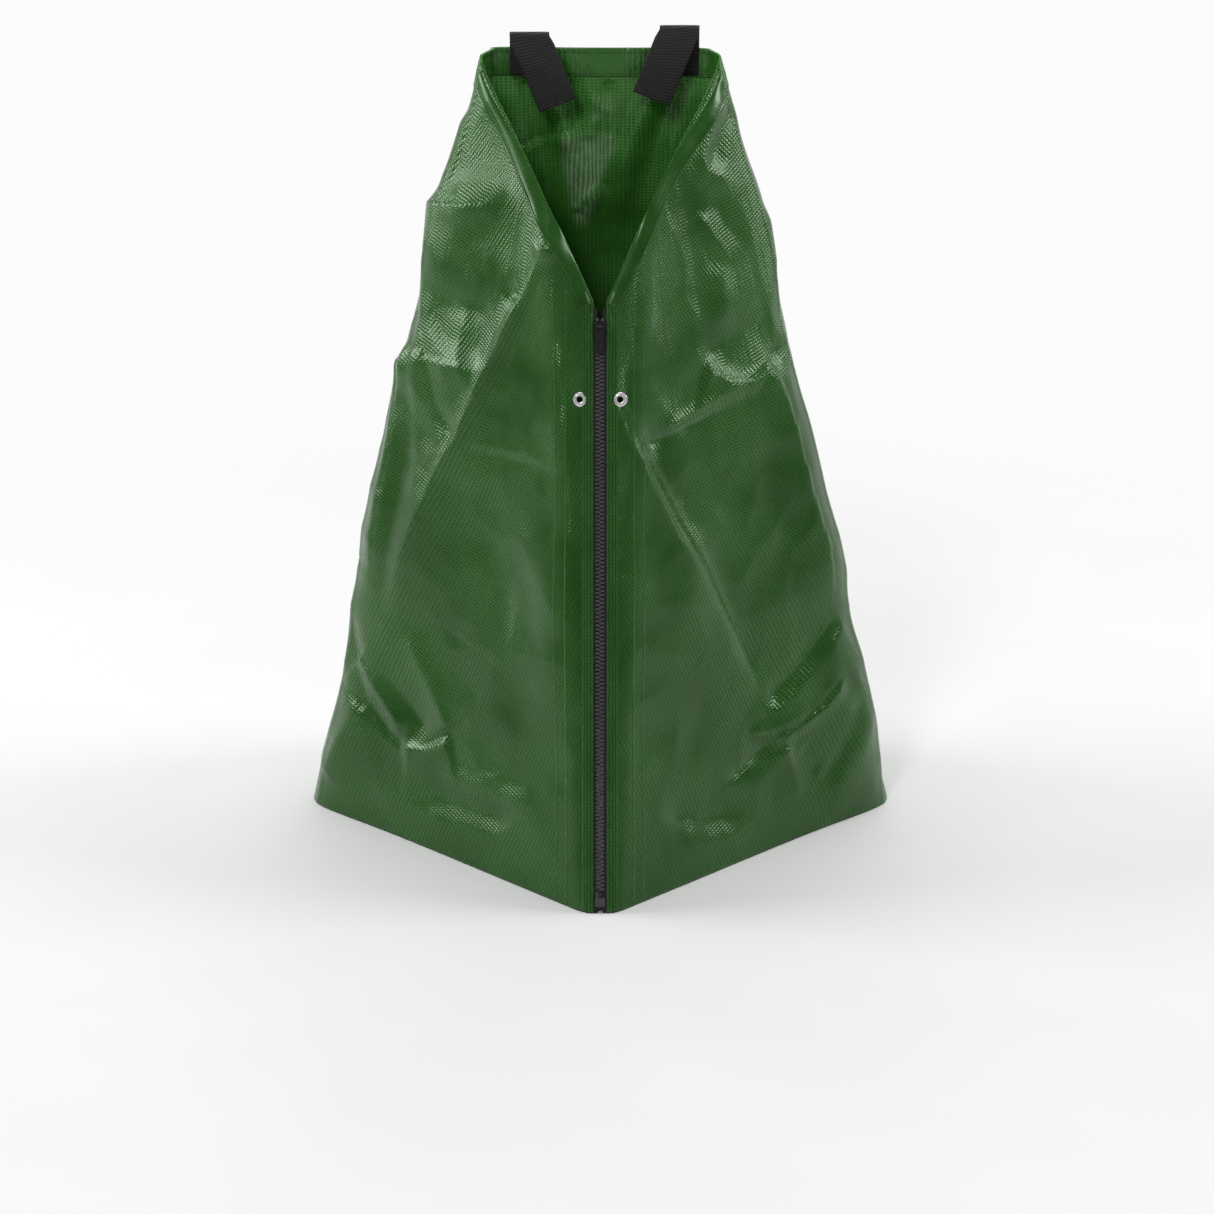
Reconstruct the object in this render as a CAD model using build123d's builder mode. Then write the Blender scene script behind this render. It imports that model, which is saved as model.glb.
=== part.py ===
# Tree watering bag: two skins of reinforced film, closed at their edges into a water bladder,
# that wrap round a young trunk and zip up the front.
#
# Millimetres, +Z up. The origin lies on the trunk's axis, at the ground. The zipped front faces -Y.
# The wall leans in all round, so a layer's "depth" is how far it lies below the bag's outer face.
import os
from math import atan, cos, degrees, hypot, radians, sin, sqrt, tan

from build123d import *

os.makedirs("parts", exist_ok=True)

# ---- Driving dimensions -------------------------------------------------------------------

# The standing bag
bag_height = 790.0  # ground to the top edge of the back
base_half_width = 298.0  # trunk axis to a side fold, at the ground
base_front_reach = 286.0  # trunk axis to the zipped front, at the ground
base_back_reach = 204.0  # trunk axis to the back, at the ground
top_half_width = 118.0  # trunk axis to a shoulder tip
top_side_reach = 42.0  # the shoulder tips lie this far behind the trunk axis
top_back_reach = 80.0  # trunk axis to the back's top edge
back_flat_half_width = 104.0  # half of the flat panel down the middle of the back
neck_height = 560.0  # ground to the bottom of the V neck
neck_front_reach = 100.0  # trunk axis to the bottom of the V neck
placket_base_half_width = 16.0  # half of the flat strip that carries the zipper, at the ground

# The film and how it is made up
skin_thickness = 0.6
bladder_gap = 2.4  # between the skins of an empty bag
base_hem_height = 14.0
top_hem_height = 30.0
binding_thickness = 0.6
binding_width = 14.0
fold_gap = 0.2  # from a side fold's axis to the layers on either side of it
binding_fold_clearance = 3.0  # bindings stop this far short of a side fold
drip_hole_radius = 0.8
drip_hole_height = 22.0
drip_hole_spacing = 120.0
fill_slot_width = 120.0
fill_slot_height = 12.0
fill_slot_drop = 50.0  # top edge of the bag to the middle of the fill slot

# The zipper, a size 8 moulded chain
zip_slot_half_width = 6.5  # zipper centre line to the film's edge
tape_thickness = 0.6
tape_inner_edge = 2.8  # zipper centre line to the tape's beaded edge
tape_outer_edge = 14.5
facing_inner_edge = 7.5
facing_crease_margin = 1.5
moulding_round = 0.2  # share of a moulded part's width that its corners' rounding takes
tooth_pitch = 4.0
tooth_root_length = 2.5
tooth_head_length = 1.5
tooth_shoulder = 1.0  # centre line to the root of a tooth
tooth_reach = 0.8  # a tooth's head reaches this far past the centre line
chain_half_width = 4.3
chain_thickness = 2.6
stop_length = 3.0
stop_drop = 0.8  # bottom of the V neck to the top stops
slider_length = 16.5
slider_half_width = 6.0
slider_foot_half_width = 5.6
slider_plate = 1.0
slider_corner_radius = 1.0
slider_clearance = 0.2
slider_post_width = 1.4
slider_post_length = 4.0
tape_clearance = 0.15
retainer_length = 9.0
retainer_wall = 0.5
retainer_ground_clearance = 6.0
pin_width = 2.6
pin_length = 14.0
pin_clearance = 0.3

# The pull tab
tab_axle_radius = 1.0
tab_axle_set = 5.5  # top of the slider to the tab's axle
tab_axle_clearance = 0.05
tab_lug_wall = 0.8
tab_lug_half_width = 1.6
tab_side_clearance = 0.3
tab_half_width = 3.6
tab_length = 27.0
tab_grip_length = 9.0
tab_grip_width = 2.8
tab_corner_radius = 1.8

# The eyelets
eyelet_spacing = 40.0
eyelet_drop = 81.0  # bottom of the V neck to the eyelets' centres, along the zipper
eyelet_bore_radius = 3.3
eyelet_barrel_wall = 0.7
eyelet_flange_radius = 7.25
eyelet_flange_thickness = 0.9
eyelet_flange_crown = 0.75  # share of the flange's width and height that its round passes through
eyelet_washer_thickness = 0.5
eyelet_roll_radius = 5.2
eyelet_roll_thickness = 0.6
eyelet_hole_clearance = 0.1

# The lifting straps
strap_width = 40.0
strap_thickness = 1.5
strap_inset = {"left": 51.0, "right": 60.0}  # trunk axis to each strap's inner edge
strap_rise = {"left": 19.0, "right": 26.0}  # each strap's fold above the top edge
strap_bend_radius = 3.5
strap_tail_length = 76.0
strap_tail_lean = 5.0  # degrees forward of hanging straight down
strap_tail_skew = 22.0  # degrees towards the middle
strap_hinge_gap = 0.2

# ---- Derived geometry ---------------------------------------------------------------------

wall_depth = 2 * skin_thickness + bladder_gap
punch_length = 4 * wall_depth  # through the whole wall, with room to spare

side_foot = Vector(-base_half_width, 0, 0)
shoulder_tip = Vector(-top_half_width, top_side_reach, bag_height)
neck_point = Vector(0, -neck_front_reach, neck_height)
front_foot = Vector(0, -base_front_reach, 0)
placket_foot = Vector(-placket_base_half_width, -base_front_reach, 0)

# The zipper lies on a flat, leaning strip, the placket. Local y runs up it and z points outwards.
zip_length = (neck_point - front_foot).length
zip_up = (neck_point - front_foot).normalized()
placket_normal = Vector(1, 0, 0).cross(zip_up)
placket = Plane(origin=neck_point, x_dir=(1, 0, 0), z_dir=placket_normal)

# The left front panel folds back from the placket along a crease that climbs from the ground.
panel_inward = (shoulder_tip - side_foot).cross(placket_foot - side_foot).normalized()
crease_up = (placket_normal * -1).cross(panel_inward).normalized()
if crease_up.Z < 0:
    crease_up = crease_up * -1
crease_across = (placket_normal * -1).cross(crease_up).normalized()
crease_bend = radians(panel_inward.get_angle(placket_normal * -1))
crease_profile = Plane(origin=placket_foot, x_dir=crease_across, z_dir=crease_up)
crease_mitre = Plane(
    origin=placket_foot,
    x_dir=crease_up,
    z_dir=crease_across + placket_normal * tan(crease_bend / 2),
)
panel_run = 2 * base_half_width  # past the side fold, before trimming
panel_climb = 2 * bag_height  # past the shoulder, before trimming
strip_run = 4 * zip_length  # past both ends of the zipper, before trimming

# Both side folds lie in one plane. Its normal points to the front.
side_fold_axis = (shoulder_tip - side_foot).normalized()
side_fold = Plane(origin=side_foot, x_dir=(1, 0, 0), z_dir=Vector(1, 0, 0).cross(side_fold_axis))

# The V neck's cut. Its normal points down into the panel.
neck_cut = Plane(
    origin=neck_point,
    x_dir=placket_normal,
    z_dir=placket_normal.cross(shoulder_tip - neck_point) * -1,
)
if neck_cut.z_dir.Z > 0:
    neck_cut = -neck_cut

# The back's round corners at the ground: each arc is tangent to the flat panel and meets a side fold.
corner_run = base_half_width - back_flat_half_width
corner_radius = (corner_run**2 + base_back_reach**2) / (2 * base_back_reach)
corner_centre_y = base_back_reach - corner_radius
shoulder_run = top_half_width - back_flat_half_width
shoulder_fall = top_back_reach - top_side_reach
shoulder_turn = atan(shoulder_fall / shoulder_run)

# Depths of the zipper's layers below the placket's outer face
tape_depth = skin_thickness
facing_depth = tape_depth + tape_thickness
facing_thickness = wall_depth - skin_thickness - facing_depth
chain_depth = tape_depth + tape_thickness / 2 - chain_thickness / 2
slider_front_depth = chain_depth - slider_clearance
slider_back_depth = chain_depth + chain_thickness + slider_clearance

# Places down the zipper from the bottom of the V neck
slider_top = stop_drop + stop_length + slider_clearance
slider_bottom = slider_top + slider_length
slider_post_top = slider_top + slider_plate
first_tooth = slider_post_top + slider_post_length + tooth_root_length / 2 + slider_clearance
retainer_bottom = zip_length - retainer_ground_clearance
retainer_top = retainer_bottom - retainer_length
pin_bottom = retainer_bottom - retainer_wall - pin_clearance
pin_top = pin_bottom - pin_length
last_tooth = pin_top - tooth_root_length / 2 - pin_clearance
slider_travel = retainer_top - slider_clearance - slider_bottom

# The pull tab's axle stands proud of the slider's front plate.
tab_bore_radius = tab_axle_radius + tab_axle_clearance
tab_lug_radius = tab_bore_radius + tab_lug_wall
slider_face_depth = slider_front_depth - slider_plate
tab_axle_depth = slider_face_depth - tab_bore_radius - tab_lug_wall / 2
tab_axle_drop = slider_top + tab_axle_set
tab_lug_drop = slider_face_depth - tab_axle_depth


def at_zip(x, drop, depth=0.0):
    """The point x across, drop down from the V neck and depth below the placket's face."""
    return placket.from_local_coords(Vector(x, -drop, -depth))


def at_placket(depth):
    """The placket's plane, lowered by depth."""
    return placket.offset(-depth)


# ---- Walls --------------------------------------------------------------------------------


def crease_point(along, depth):
    """A point of the panel's side of the crease, in the crease's cross-section."""
    return (
        sin(crease_bend) * depth - cos(crease_bend) * along,
        sin(crease_bend) * along + cos(crease_bend) * depth,
    )


def front_layer(top_depth, bottom_depth, past_neck=0.0):
    """A layer of the left front, from the zipper's slot to the side fold, under the V neck."""
    reach = tan(crease_bend / 2)
    with BuildPart() as layer:
        with BuildSketch(crease_profile.offset(-panel_climb)):
            with BuildLine():
                Polyline(
                    (panel_run, top_depth),
                    (reach * top_depth, top_depth),
                    crease_point(panel_run, top_depth),
                    crease_point(panel_run, bottom_depth),
                    (reach * bottom_depth, bottom_depth),
                    (panel_run, bottom_depth),
                    close=True,
                )
            make_face()
        extrude(amount=2 * panel_climb)
        split(bisect_by=Plane.XY, keep=Keep.TOP)
        split(bisect_by=Plane.YZ.offset(-zip_slot_half_width), keep=Keep.BOTTOM)
        split(bisect_by=side_fold.offset(fold_gap), keep=Keep.TOP)
        split(bisect_by=neck_cut.offset(-past_neck), keep=Keep.TOP)
    return layer.part


def ground_corner(depth):
    """Where the back's layer at this depth meets the side fold's gap, at the ground."""
    rise = fold_gap - corner_centre_y
    return back_flat_half_width + sqrt((corner_radius - depth) ** 2 - rise**2), fold_gap


def ground_arc_middle(depth):
    """The middle of the back's rounded corner at this depth, at the ground."""
    end_x, end_y = ground_corner(depth)
    radius = corner_radius - depth
    half_turn = (90 - degrees(atan((end_y - corner_centre_y) / (end_x - back_flat_half_width)))) / 2
    return (
        back_flat_half_width + radius * sin(radians(half_turn)),
        corner_centre_y + radius * cos(radians(half_turn)),
    )


def top_corner(depth):
    """The corner between the back's flat panel and its shoulder, at the top edge."""
    return back_flat_half_width - depth * tan(shoulder_turn / 2), top_back_reach - depth


def top_tip(depth):
    """The shoulder's end at the side fold's gap, at the top edge."""
    corner_x, corner_y = top_corner(depth)
    tip_y = top_side_reach + fold_gap
    return corner_x + (corner_y - tip_y) / tan(shoulder_turn), tip_y


def left(point):
    """The point mirrored to the left."""
    return -point[0], point[1]


def back_layer(top_depth, bottom_depth):
    """A layer of the back between two depths: rounded at the ground, flat at the top."""
    with BuildPart() as layer:
        with BuildSketch(Plane.XY):
            with BuildLine():
                for depth in (top_depth, bottom_depth):
                    end = ground_corner(depth)
                    middle = ground_arc_middle(depth)
                    flat = (back_flat_half_width, base_back_reach - depth)
                    ThreePointArc(left(end), left(middle), left(flat))
                    Line(left(flat), flat)
                    ThreePointArc(flat, middle, end)
                Line(ground_corner(top_depth), ground_corner(bottom_depth))
                Line(left(ground_corner(top_depth)), left(ground_corner(bottom_depth)))
            make_face()
        with BuildSketch(Plane.XY.offset(bag_height)):
            with BuildLine():
                for depth in (top_depth, bottom_depth):
                    tip = top_tip(depth)
                    corner = top_corner(depth)
                    Polyline(left(tip), left(corner), corner, tip)
                Line(top_tip(top_depth), top_tip(bottom_depth))
                Line(left(top_tip(top_depth)), left(top_tip(bottom_depth)))
            make_face()
        loft(ruled=True)
    return layer.part


def write(piece, label):
    """Names the piece and writes it to its own file."""
    piece.part.label = label
    export_step(piece.part, f"parts/{label}.step")


def write_pair(piece, name):
    """Writes a left-hand piece and its mirror image, which it returns."""
    write(piece, f"{name}_left")
    with BuildPart() as other_hand:
        mirror(piece.part, about=Plane.YZ)
    write(other_hand, f"{name}_right")
    return other_hand


# ---- Back ---------------------------------------------------------------------------------

back_slope = (base_back_reach - top_back_reach) / bag_height


def back_y(height, depth=0.0):
    """How far behind the trunk the flat back panel's layer lies at a height."""
    return base_back_reach - back_slope * height - depth


with BuildPart() as outer_back:
    add(back_layer(0, skin_thickness))
    slot_height = bag_height - fill_slot_drop
    with BuildSketch(Plane.XZ.offset(-back_y(slot_height, -wall_depth))):
        with Locations((0, slot_height)):
            SlotOverall(fill_slot_width, fill_slot_height)
    extrude(amount=2 * wall_depth, mode=Mode.SUBTRACT)
write(outer_back, "outer_back")

with BuildPart() as inner_back:
    add(back_layer(skin_thickness + bladder_gap, wall_depth))
    with BuildSketch(Plane.XZ.offset(-back_y(drip_hole_height, -wall_depth))):
        with Locations((0, drip_hole_height)):
            with GridLocations(drip_hole_spacing, 1, 2, 1):
                Circle(drip_hole_radius)
    extrude(amount=punch_length, mode=Mode.SUBTRACT)
write(inner_back, "inner_back")

with BuildPart() as base_hem_back:
    add(back_layer(skin_thickness, skin_thickness + bladder_gap))
    split(bisect_by=Plane.XY.offset(base_hem_height), keep=Keep.BOTTOM)
write(base_hem_back, "base_hem_back")

with BuildPart() as top_hem:
    add(back_layer(-binding_thickness, wall_depth + binding_thickness))
    split(bisect_by=Plane.XY.offset(bag_height - top_hem_height), keep=Keep.TOP)
    extrude(top_hem.faces().sort_by(Axis.Z)[-1], amount=binding_thickness)
    add(back_layer(0, wall_depth), mode=Mode.SUBTRACT)
    split(bisect_by=side_fold.offset(-binding_fold_clearance), keep=Keep.BOTTOM)
write(top_hem, "top_hem")

# ---- Front --------------------------------------------------------------------------------

eyelet_x = eyelet_spacing / 2
eyelet_hole_radius = eyelet_bore_radius + eyelet_barrel_wall + eyelet_hole_clearance
eyelet_seat = Plane(
    origin=at_zip(-eyelet_x, eyelet_drop),
    x_dir=(1, 0, 0),
    z_dir=placket_normal,
)


def pierced(layer):
    """The layer with the eyelet's hole through it."""
    with BuildPart() as punched:
        add(layer)
        with Locations(eyelet_seat):
            Cylinder(eyelet_hole_radius, punch_length, mode=Mode.SUBTRACT)
    return punched


write_pair(pierced(front_layer(0, skin_thickness)), "outer")
write_pair(pierced(front_layer(skin_thickness + bladder_gap, wall_depth)), "inner")

with BuildPart() as base_hem:
    add(front_layer(skin_thickness, skin_thickness + bladder_gap))
    split(bisect_by=Plane.XY.offset(base_hem_height), keep=Keep.BOTTOM)
    split(bisect_by=crease_mitre, keep=Keep.BOTTOM)
write_pair(base_hem, "base_hem")

with BuildPart() as neck_binding:
    add(front_layer(-binding_thickness, wall_depth + binding_thickness, binding_thickness))
    split(bisect_by=neck_cut.offset(binding_width), keep=Keep.BOTTOM)
    split(bisect_by=side_fold.offset(binding_fold_clearance), keep=Keep.TOP)
    add(front_layer(0, wall_depth), mode=Mode.SUBTRACT)
write_pair(neck_binding, "neck_binding")

# ---- Zipper -------------------------------------------------------------------------------


def strip(inner_edge, outer_edge, depth, thickness):
    """A flat strip down the left of the placket, cut off at the neck and at the ground."""
    with BuildPart() as piece:
        with BuildSketch(at_placket(depth)):
            with Locations((-(inner_edge + outer_edge) / 2, 0)):
                Rectangle(outer_edge - inner_edge, strip_run)
        extrude(amount=-thickness)
        split(bisect_by=neck_cut, keep=Keep.TOP)
        split(bisect_by=Plane.XY, keep=Keep.TOP)
    return piece


# The turned edges of both skins, welded shut beside the zipper
with BuildPart() as zip_facing:
    add(strip(facing_inner_edge, top_half_width, facing_depth, facing_thickness).part)
    split(bisect_by=crease_mitre.offset(facing_crease_margin), keep=Keep.TOP)
    with Locations(eyelet_seat):
        Cylinder(eyelet_hole_radius, punch_length, mode=Mode.SUBTRACT)
write_pair(zip_facing, "zip_facing")

zipper_tape = strip(tape_inner_edge, tape_outer_edge, tape_depth, tape_thickness)
right_tape = write_pair(zipper_tape, "zipper_tape")
tapes = {-1: zipper_tape.part, 1: right_tape.part}


def teeth(side, start):
    """One side's row of teeth. Each is a block that grips the tape, with a head that reaches across."""
    count = int((last_tooth - start) / tooth_pitch) + 1
    root_width = chain_half_width - tooth_shoulder
    head_width = tooth_shoulder + tooth_reach
    with BuildPart() as row:
        with BuildSketch(at_placket(chain_depth)):
            with Locations(*[(0, -start - tooth_pitch * i) for i in range(count)]):
                with Locations((side * (tooth_shoulder + root_width / 2), 0)):
                    Rectangle(root_width, tooth_root_length)
                with Locations((side * (tooth_shoulder - head_width / 2), 0)):
                    Rectangle(head_width, tooth_head_length)
        extrude(amount=-chain_thickness)
        add(tapes[side], mode=Mode.SUBTRACT)
    return row


write(teeth(-1, first_tooth + tooth_pitch / 2), "zipper_teeth_left")
write(teeth(1, first_tooth), "zipper_teeth_right")

stop_width = chain_half_width - tooth_shoulder
with BuildPart() as top_stop:
    with BuildSketch(at_placket(chain_depth)):
        with Locations((-tooth_shoulder - stop_width / 2, -stop_drop - stop_length / 2)):
            RectangleRounded(stop_width, stop_length, moulding_round * stop_width)
    extrude(amount=-chain_thickness)
    add(tapes[-1], mode=Mode.SUBTRACT)
write_pair(top_stop, "top_stop")

# The insertion pin ends the left tape and stands in the retainer box, which ends the right one.
with BuildPart() as insertion_pin:
    with BuildSketch(at_placket(chain_depth)):
        with Locations((-chain_half_width + pin_width / 2, -(pin_top + pin_bottom) / 2)):
            RectangleRounded(pin_width, pin_length, moulding_round * pin_width)
    extrude(amount=-chain_thickness)
    add(tapes[-1], mode=Mode.SUBTRACT)
write(insertion_pin, "insertion_pin")

retainer_half_width = chain_half_width + pin_clearance + retainer_wall
retainer_depth = chain_depth - pin_clearance - retainer_wall
retainer_thickness = chain_thickness + 2 * (pin_clearance + retainer_wall)
socket_width = pin_width + 2 * pin_clearance
socket_length = pin_bottom + pin_clearance - retainer_top
with BuildPart() as retainer_box:
    with BuildSketch(at_placket(retainer_depth)):
        with Locations((0, -(retainer_top + retainer_bottom) / 2)):
            RectangleRounded(
                2 * retainer_half_width,
                retainer_length,
                moulding_round * retainer_half_width,
            )
    extrude(amount=-retainer_thickness)
    with BuildSketch(at_placket(chain_depth - pin_clearance)):
        with Locations((-chain_half_width + pin_width / 2, -retainer_top - socket_length / 2)):
            Rectangle(socket_width, socket_length)
    extrude(amount=-(chain_thickness + 2 * pin_clearance), mode=Mode.SUBTRACT)
    # The left tape runs in through a slot in the box's side.
    with BuildSketch(at_placket(tape_depth - tape_clearance)):
        with Locations((-chain_half_width, 0)):
            Rectangle(2 * retainer_half_width - pin_width, strip_run)
    extrude(amount=-(tape_thickness + 2 * tape_clearance), mode=Mode.SUBTRACT)
    add(tapes[1], mode=Mode.SUBTRACT)
write(retainer_box, "retainer_box")

# ---- Slider and pull tab ------------------------------------------------------------------

lip_width = slider_foot_half_width - chain_half_width - slider_clearance
lip_x = slider_foot_half_width - lip_width / 2
lip_y = -slider_bottom + slider_length / 4
lip_edge_front = tape_depth - tape_clearance - slider_front_depth
lip_edge_back = slider_back_depth - tape_depth - tape_thickness - tape_clearance
post_x = -(tooth_reach + slider_clearance + slider_post_width / 2)
with BuildPart() as slider:
    for depth in (slider_face_depth, slider_back_depth):
        with BuildSketch(at_placket(depth)) as plate:
            with BuildLine():
                Polyline(
                    (-slider_half_width, -slider_top),
                    (slider_half_width, -slider_top),
                    (slider_half_width, -slider_top - slider_length / 2),
                    (slider_foot_half_width, -slider_bottom),
                    (-slider_foot_half_width, -slider_bottom),
                    (-slider_half_width, -slider_top - slider_length / 2),
                    close=True,
                )
            make_face()
            fillet(plate.vertices(), radius=slider_corner_radius)
        extrude(amount=-slider_plate)
    # The divider joins the plates between the rows. It stands clear of the right-hand teeth.
    with BuildSketch(at_placket(slider_front_depth)):
        with Locations((post_x, -slider_post_top - slider_post_length / 2)):
            Rectangle(slider_post_width, slider_post_length)
    extrude(amount=-(slider_back_depth - slider_front_depth))
    # Lips turn in towards the tapes and keep the teeth in the channel.
    for depth, reach in ((slider_front_depth, -lip_edge_front), (slider_back_depth, lip_edge_back)):
        with BuildSketch(at_placket(depth)):
            with Locations((-lip_x, lip_y), (lip_x, lip_y)):
                Rectangle(lip_width, slider_length / 2)
        extrude(amount=reach)
    # A lug on the front plate carries the pull tab's axle.
    with BuildSketch(
        Plane(
            origin=at_zip(-tab_lug_half_width, tab_axle_drop, tab_axle_depth),
            x_dir=zip_up,
            z_dir=(1, 0, 0),
        )
    ):
        Circle(tab_lug_radius)
        with Locations((0, tab_lug_drop / 2)):
            Rectangle(2 * tab_lug_radius, tab_lug_drop)
        Circle(tab_bore_radius, mode=Mode.SUBTRACT)
    extrude(amount=2 * tab_lug_half_width)
write(slider, "slider_body")

tab_window_half_width = tab_lug_half_width + tab_side_clearance
# The window clears the corners of the lug's foot as the tab swings over them.
tab_window_length = hypot(tab_lug_radius, tab_lug_drop) + tab_side_clearance
with BuildPart() as pull_tab:
    with BuildSketch(at_placket(tab_axle_depth - tab_axle_radius)) as tab_face:
        with Locations((0, -tab_axle_drop - tab_length / 2)):
            Rectangle(2 * tab_half_width, tab_length)
        fillet(tab_face.vertices().group_by(Axis.Z)[0], radius=tab_corner_radius)
        with Locations((0, -tab_axle_drop - tab_window_length / 2)):
            Rectangle(2 * tab_window_half_width, tab_window_length, mode=Mode.SUBTRACT)
        with Locations((0, -tab_axle_drop - tab_length + tab_grip_length)):
            SlotOverall(tab_grip_length, tab_grip_width, rotation=90, mode=Mode.SUBTRACT)
    extrude(amount=-2 * tab_axle_radius)
    with BuildSketch(
        Plane(
            origin=at_zip(-tab_half_width, tab_axle_drop, tab_axle_depth),
            x_dir=zip_up,
            z_dir=(1, 0, 0),
        )
    ):
        Circle(tab_axle_radius)
    extrude(amount=2 * tab_half_width)
write(pull_tab, "pull_tab")

# ---- Eyelets ------------------------------------------------------------------------------

eyelet_section = Plane(origin=eyelet_seat.origin, x_dir=(1, 0, 0), z_dir=zip_up * -1)
eyelet_axis = Axis(eyelet_seat.origin, placket_normal)
barrel_radius = eyelet_bore_radius + eyelet_barrel_wall
washer_foot = -wall_depth - eyelet_washer_thickness

with BuildPart() as eyelet:
    with BuildSketch(eyelet_section):
        with BuildLine():
            Polyline(
                (barrel_radius, 0),
                (barrel_radius, washer_foot),
                (eyelet_roll_radius, washer_foot),
                (eyelet_roll_radius, washer_foot - eyelet_roll_thickness),
                (eyelet_bore_radius, washer_foot - eyelet_roll_thickness),
                (eyelet_bore_radius, eyelet_flange_thickness),
            )
            ThreePointArc(
                (eyelet_bore_radius, eyelet_flange_thickness),
                (
                    eyelet_bore_radius
                    + eyelet_flange_crown * (eyelet_flange_radius - eyelet_bore_radius),
                    eyelet_flange_crown * eyelet_flange_thickness,
                ),
                (eyelet_flange_radius, 0),
            )
            Line((eyelet_flange_radius, 0), (barrel_radius, 0))
        make_face()
    revolve(axis=eyelet_axis)
write_pair(eyelet, "eyelet")

with BuildPart() as eyelet_washer:
    with Locations(eyelet_seat.offset(-wall_depth)):
        Cylinder(
            eyelet_flange_radius,
            eyelet_washer_thickness,
            align=(Align.CENTER, Align.CENTER, Align.MAX),
        )
        Cylinder(eyelet_hole_radius, punch_length, mode=Mode.SUBTRACT)
write_pair(eyelet_washer, "eyelet_washer")

# ---- Lifting straps -----------------------------------------------------------------------

strap_lean = degrees(atan(back_slope))
strap_face_depth = wall_depth + binding_thickness
strap_foot = bag_height - top_hem_height
strap_bend_turn = 180 - strap_lean - strap_tail_lean


def strap(side):
    """A webbing strap: a leg sewn to the hem that folds forward, and a tail hanging from the fold."""
    across = -1 if side == "left" else 1
    bend_start = bag_height + strap_rise[side] - strap_bend_radius
    centre = across * (strap_inset[side] + strap_width / 2)
    with BuildPart() as leg:
        with BuildSketch(Plane.YZ.offset(centre - strap_width / 2)):
            with BuildLine():
                upright = Line(
                    (back_y(strap_foot, strap_face_depth), strap_foot),
                    (back_y(bend_start, strap_face_depth), bend_start),
                )
                bend = JernArc(upright @ 1, upright % 1, strap_bend_radius, strap_bend_turn)
                offset(amount=strap_thickness, side=Side.LEFT)
            make_face()
        extrude(amount=strap_width)
    write(leg, f"strap_leg_{side}")

    hinge = Vector(centre, (bend @ 1).X, (bend @ 1).Y)
    down = Vector(0, (bend % 1).X, (bend % 1).Y)
    drift = -across * tan(radians(strap_tail_skew))
    cut = across * sin(radians(strap_tail_skew)) * strap_width / 2
    end = strap_tail_length * cos(radians(strap_tail_skew))
    half = strap_width / 2 / cos(radians(strap_tail_skew))
    with BuildPart() as tail:
        with BuildSketch(Plane(origin=hinge, x_dir=(1, 0, 0), z_dir=down.cross(Vector(1, 0, 0)))):
            with BuildLine():
                Polyline(
                    (-half, -strap_hinge_gap),
                    (half, -strap_hinge_gap),
                    (half + drift * (end + cut), -end - cut),
                    (-half + drift * (end - cut), -end + cut),
                    close=True,
                )
            make_face()
        extrude(amount=-strap_thickness)
    write(tail, f"strap_tail_{side}")
    return hinge


strap_hinges = {side: strap(side) for side in ("left", "right")}
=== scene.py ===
import math

import bpy
import numpy as np
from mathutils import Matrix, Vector, noise


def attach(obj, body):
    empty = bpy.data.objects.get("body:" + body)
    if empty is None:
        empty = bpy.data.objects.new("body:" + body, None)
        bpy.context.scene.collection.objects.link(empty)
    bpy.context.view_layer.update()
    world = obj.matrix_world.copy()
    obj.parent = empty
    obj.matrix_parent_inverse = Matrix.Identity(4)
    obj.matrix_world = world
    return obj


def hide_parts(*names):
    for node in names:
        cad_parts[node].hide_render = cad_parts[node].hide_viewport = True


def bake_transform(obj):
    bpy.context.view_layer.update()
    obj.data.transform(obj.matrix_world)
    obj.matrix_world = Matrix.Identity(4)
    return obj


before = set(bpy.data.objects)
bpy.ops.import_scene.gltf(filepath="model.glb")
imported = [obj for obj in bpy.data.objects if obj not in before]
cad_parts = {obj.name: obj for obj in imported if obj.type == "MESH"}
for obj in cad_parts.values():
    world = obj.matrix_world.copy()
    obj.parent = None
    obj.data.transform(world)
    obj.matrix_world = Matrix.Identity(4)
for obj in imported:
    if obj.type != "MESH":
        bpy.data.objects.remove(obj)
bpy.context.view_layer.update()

# ---- Sizes shared with the CAD ------------------------------------------------------------

FOOT_X, FOOT_FRONT, FOOT_BACK = 0.298, 0.286, 0.204
TIP_X, TIP_Y, TOP_BACK, TOP_Z = 0.118, 0.042, 0.080, 0.790
BACK_FLAT = 0.104
NECK_Y, NECK_Z = 0.100, 0.560
PLACKET_FOOT_X = 0.016
SLOT_X = 0.0065  # zipper centre line to the film's edge
CORNER_R, CORNER_Y = 0.194245, 0.009755  # the round of the back at the ground
WALL = 0.0036  # both skins and the gap between them
SKIN = 0.0006
EYELET_X, EYELET_DROP, EYELET_HOLE = 0.020, 0.081, 0.0044
FILL_HALF, FILL_R, FILL_Z = 0.054, 0.006, 0.740
DRIP_X, DRIP_Z, DRIP_R = 0.060, 0.022, 0.0008
HEM = 0.030
BINDING = 0.014
SEAM_PROUD = 0.0007  # how far a plain seam stands out

foot = np.array([FOOT_X, 0, 0])
tip = np.array([TIP_X, TIP_Y, TOP_Z])
placket_foot = np.array([PLACKET_FOOT_X, -FOOT_FRONT, 0])


def unit_to_front(v):
    """The unit vector along v, turned so that it points to the front."""
    v = v / np.linalg.norm(v)
    return -v if v[1] > 0 else v


panel_normal = unit_to_front(np.cross(placket_foot - foot, tip - foot))
PLACKET_LEAN = (FOOT_FRONT - NECK_Y) / NECK_Z
placket_normal = np.array([0, -1, PLACKET_LEAN]) / math.hypot(1, PLACKET_LEAN)
zip_up = np.array([0, PLACKET_LEAN, 1]) / math.hypot(1, PLACKET_LEAN)

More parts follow.
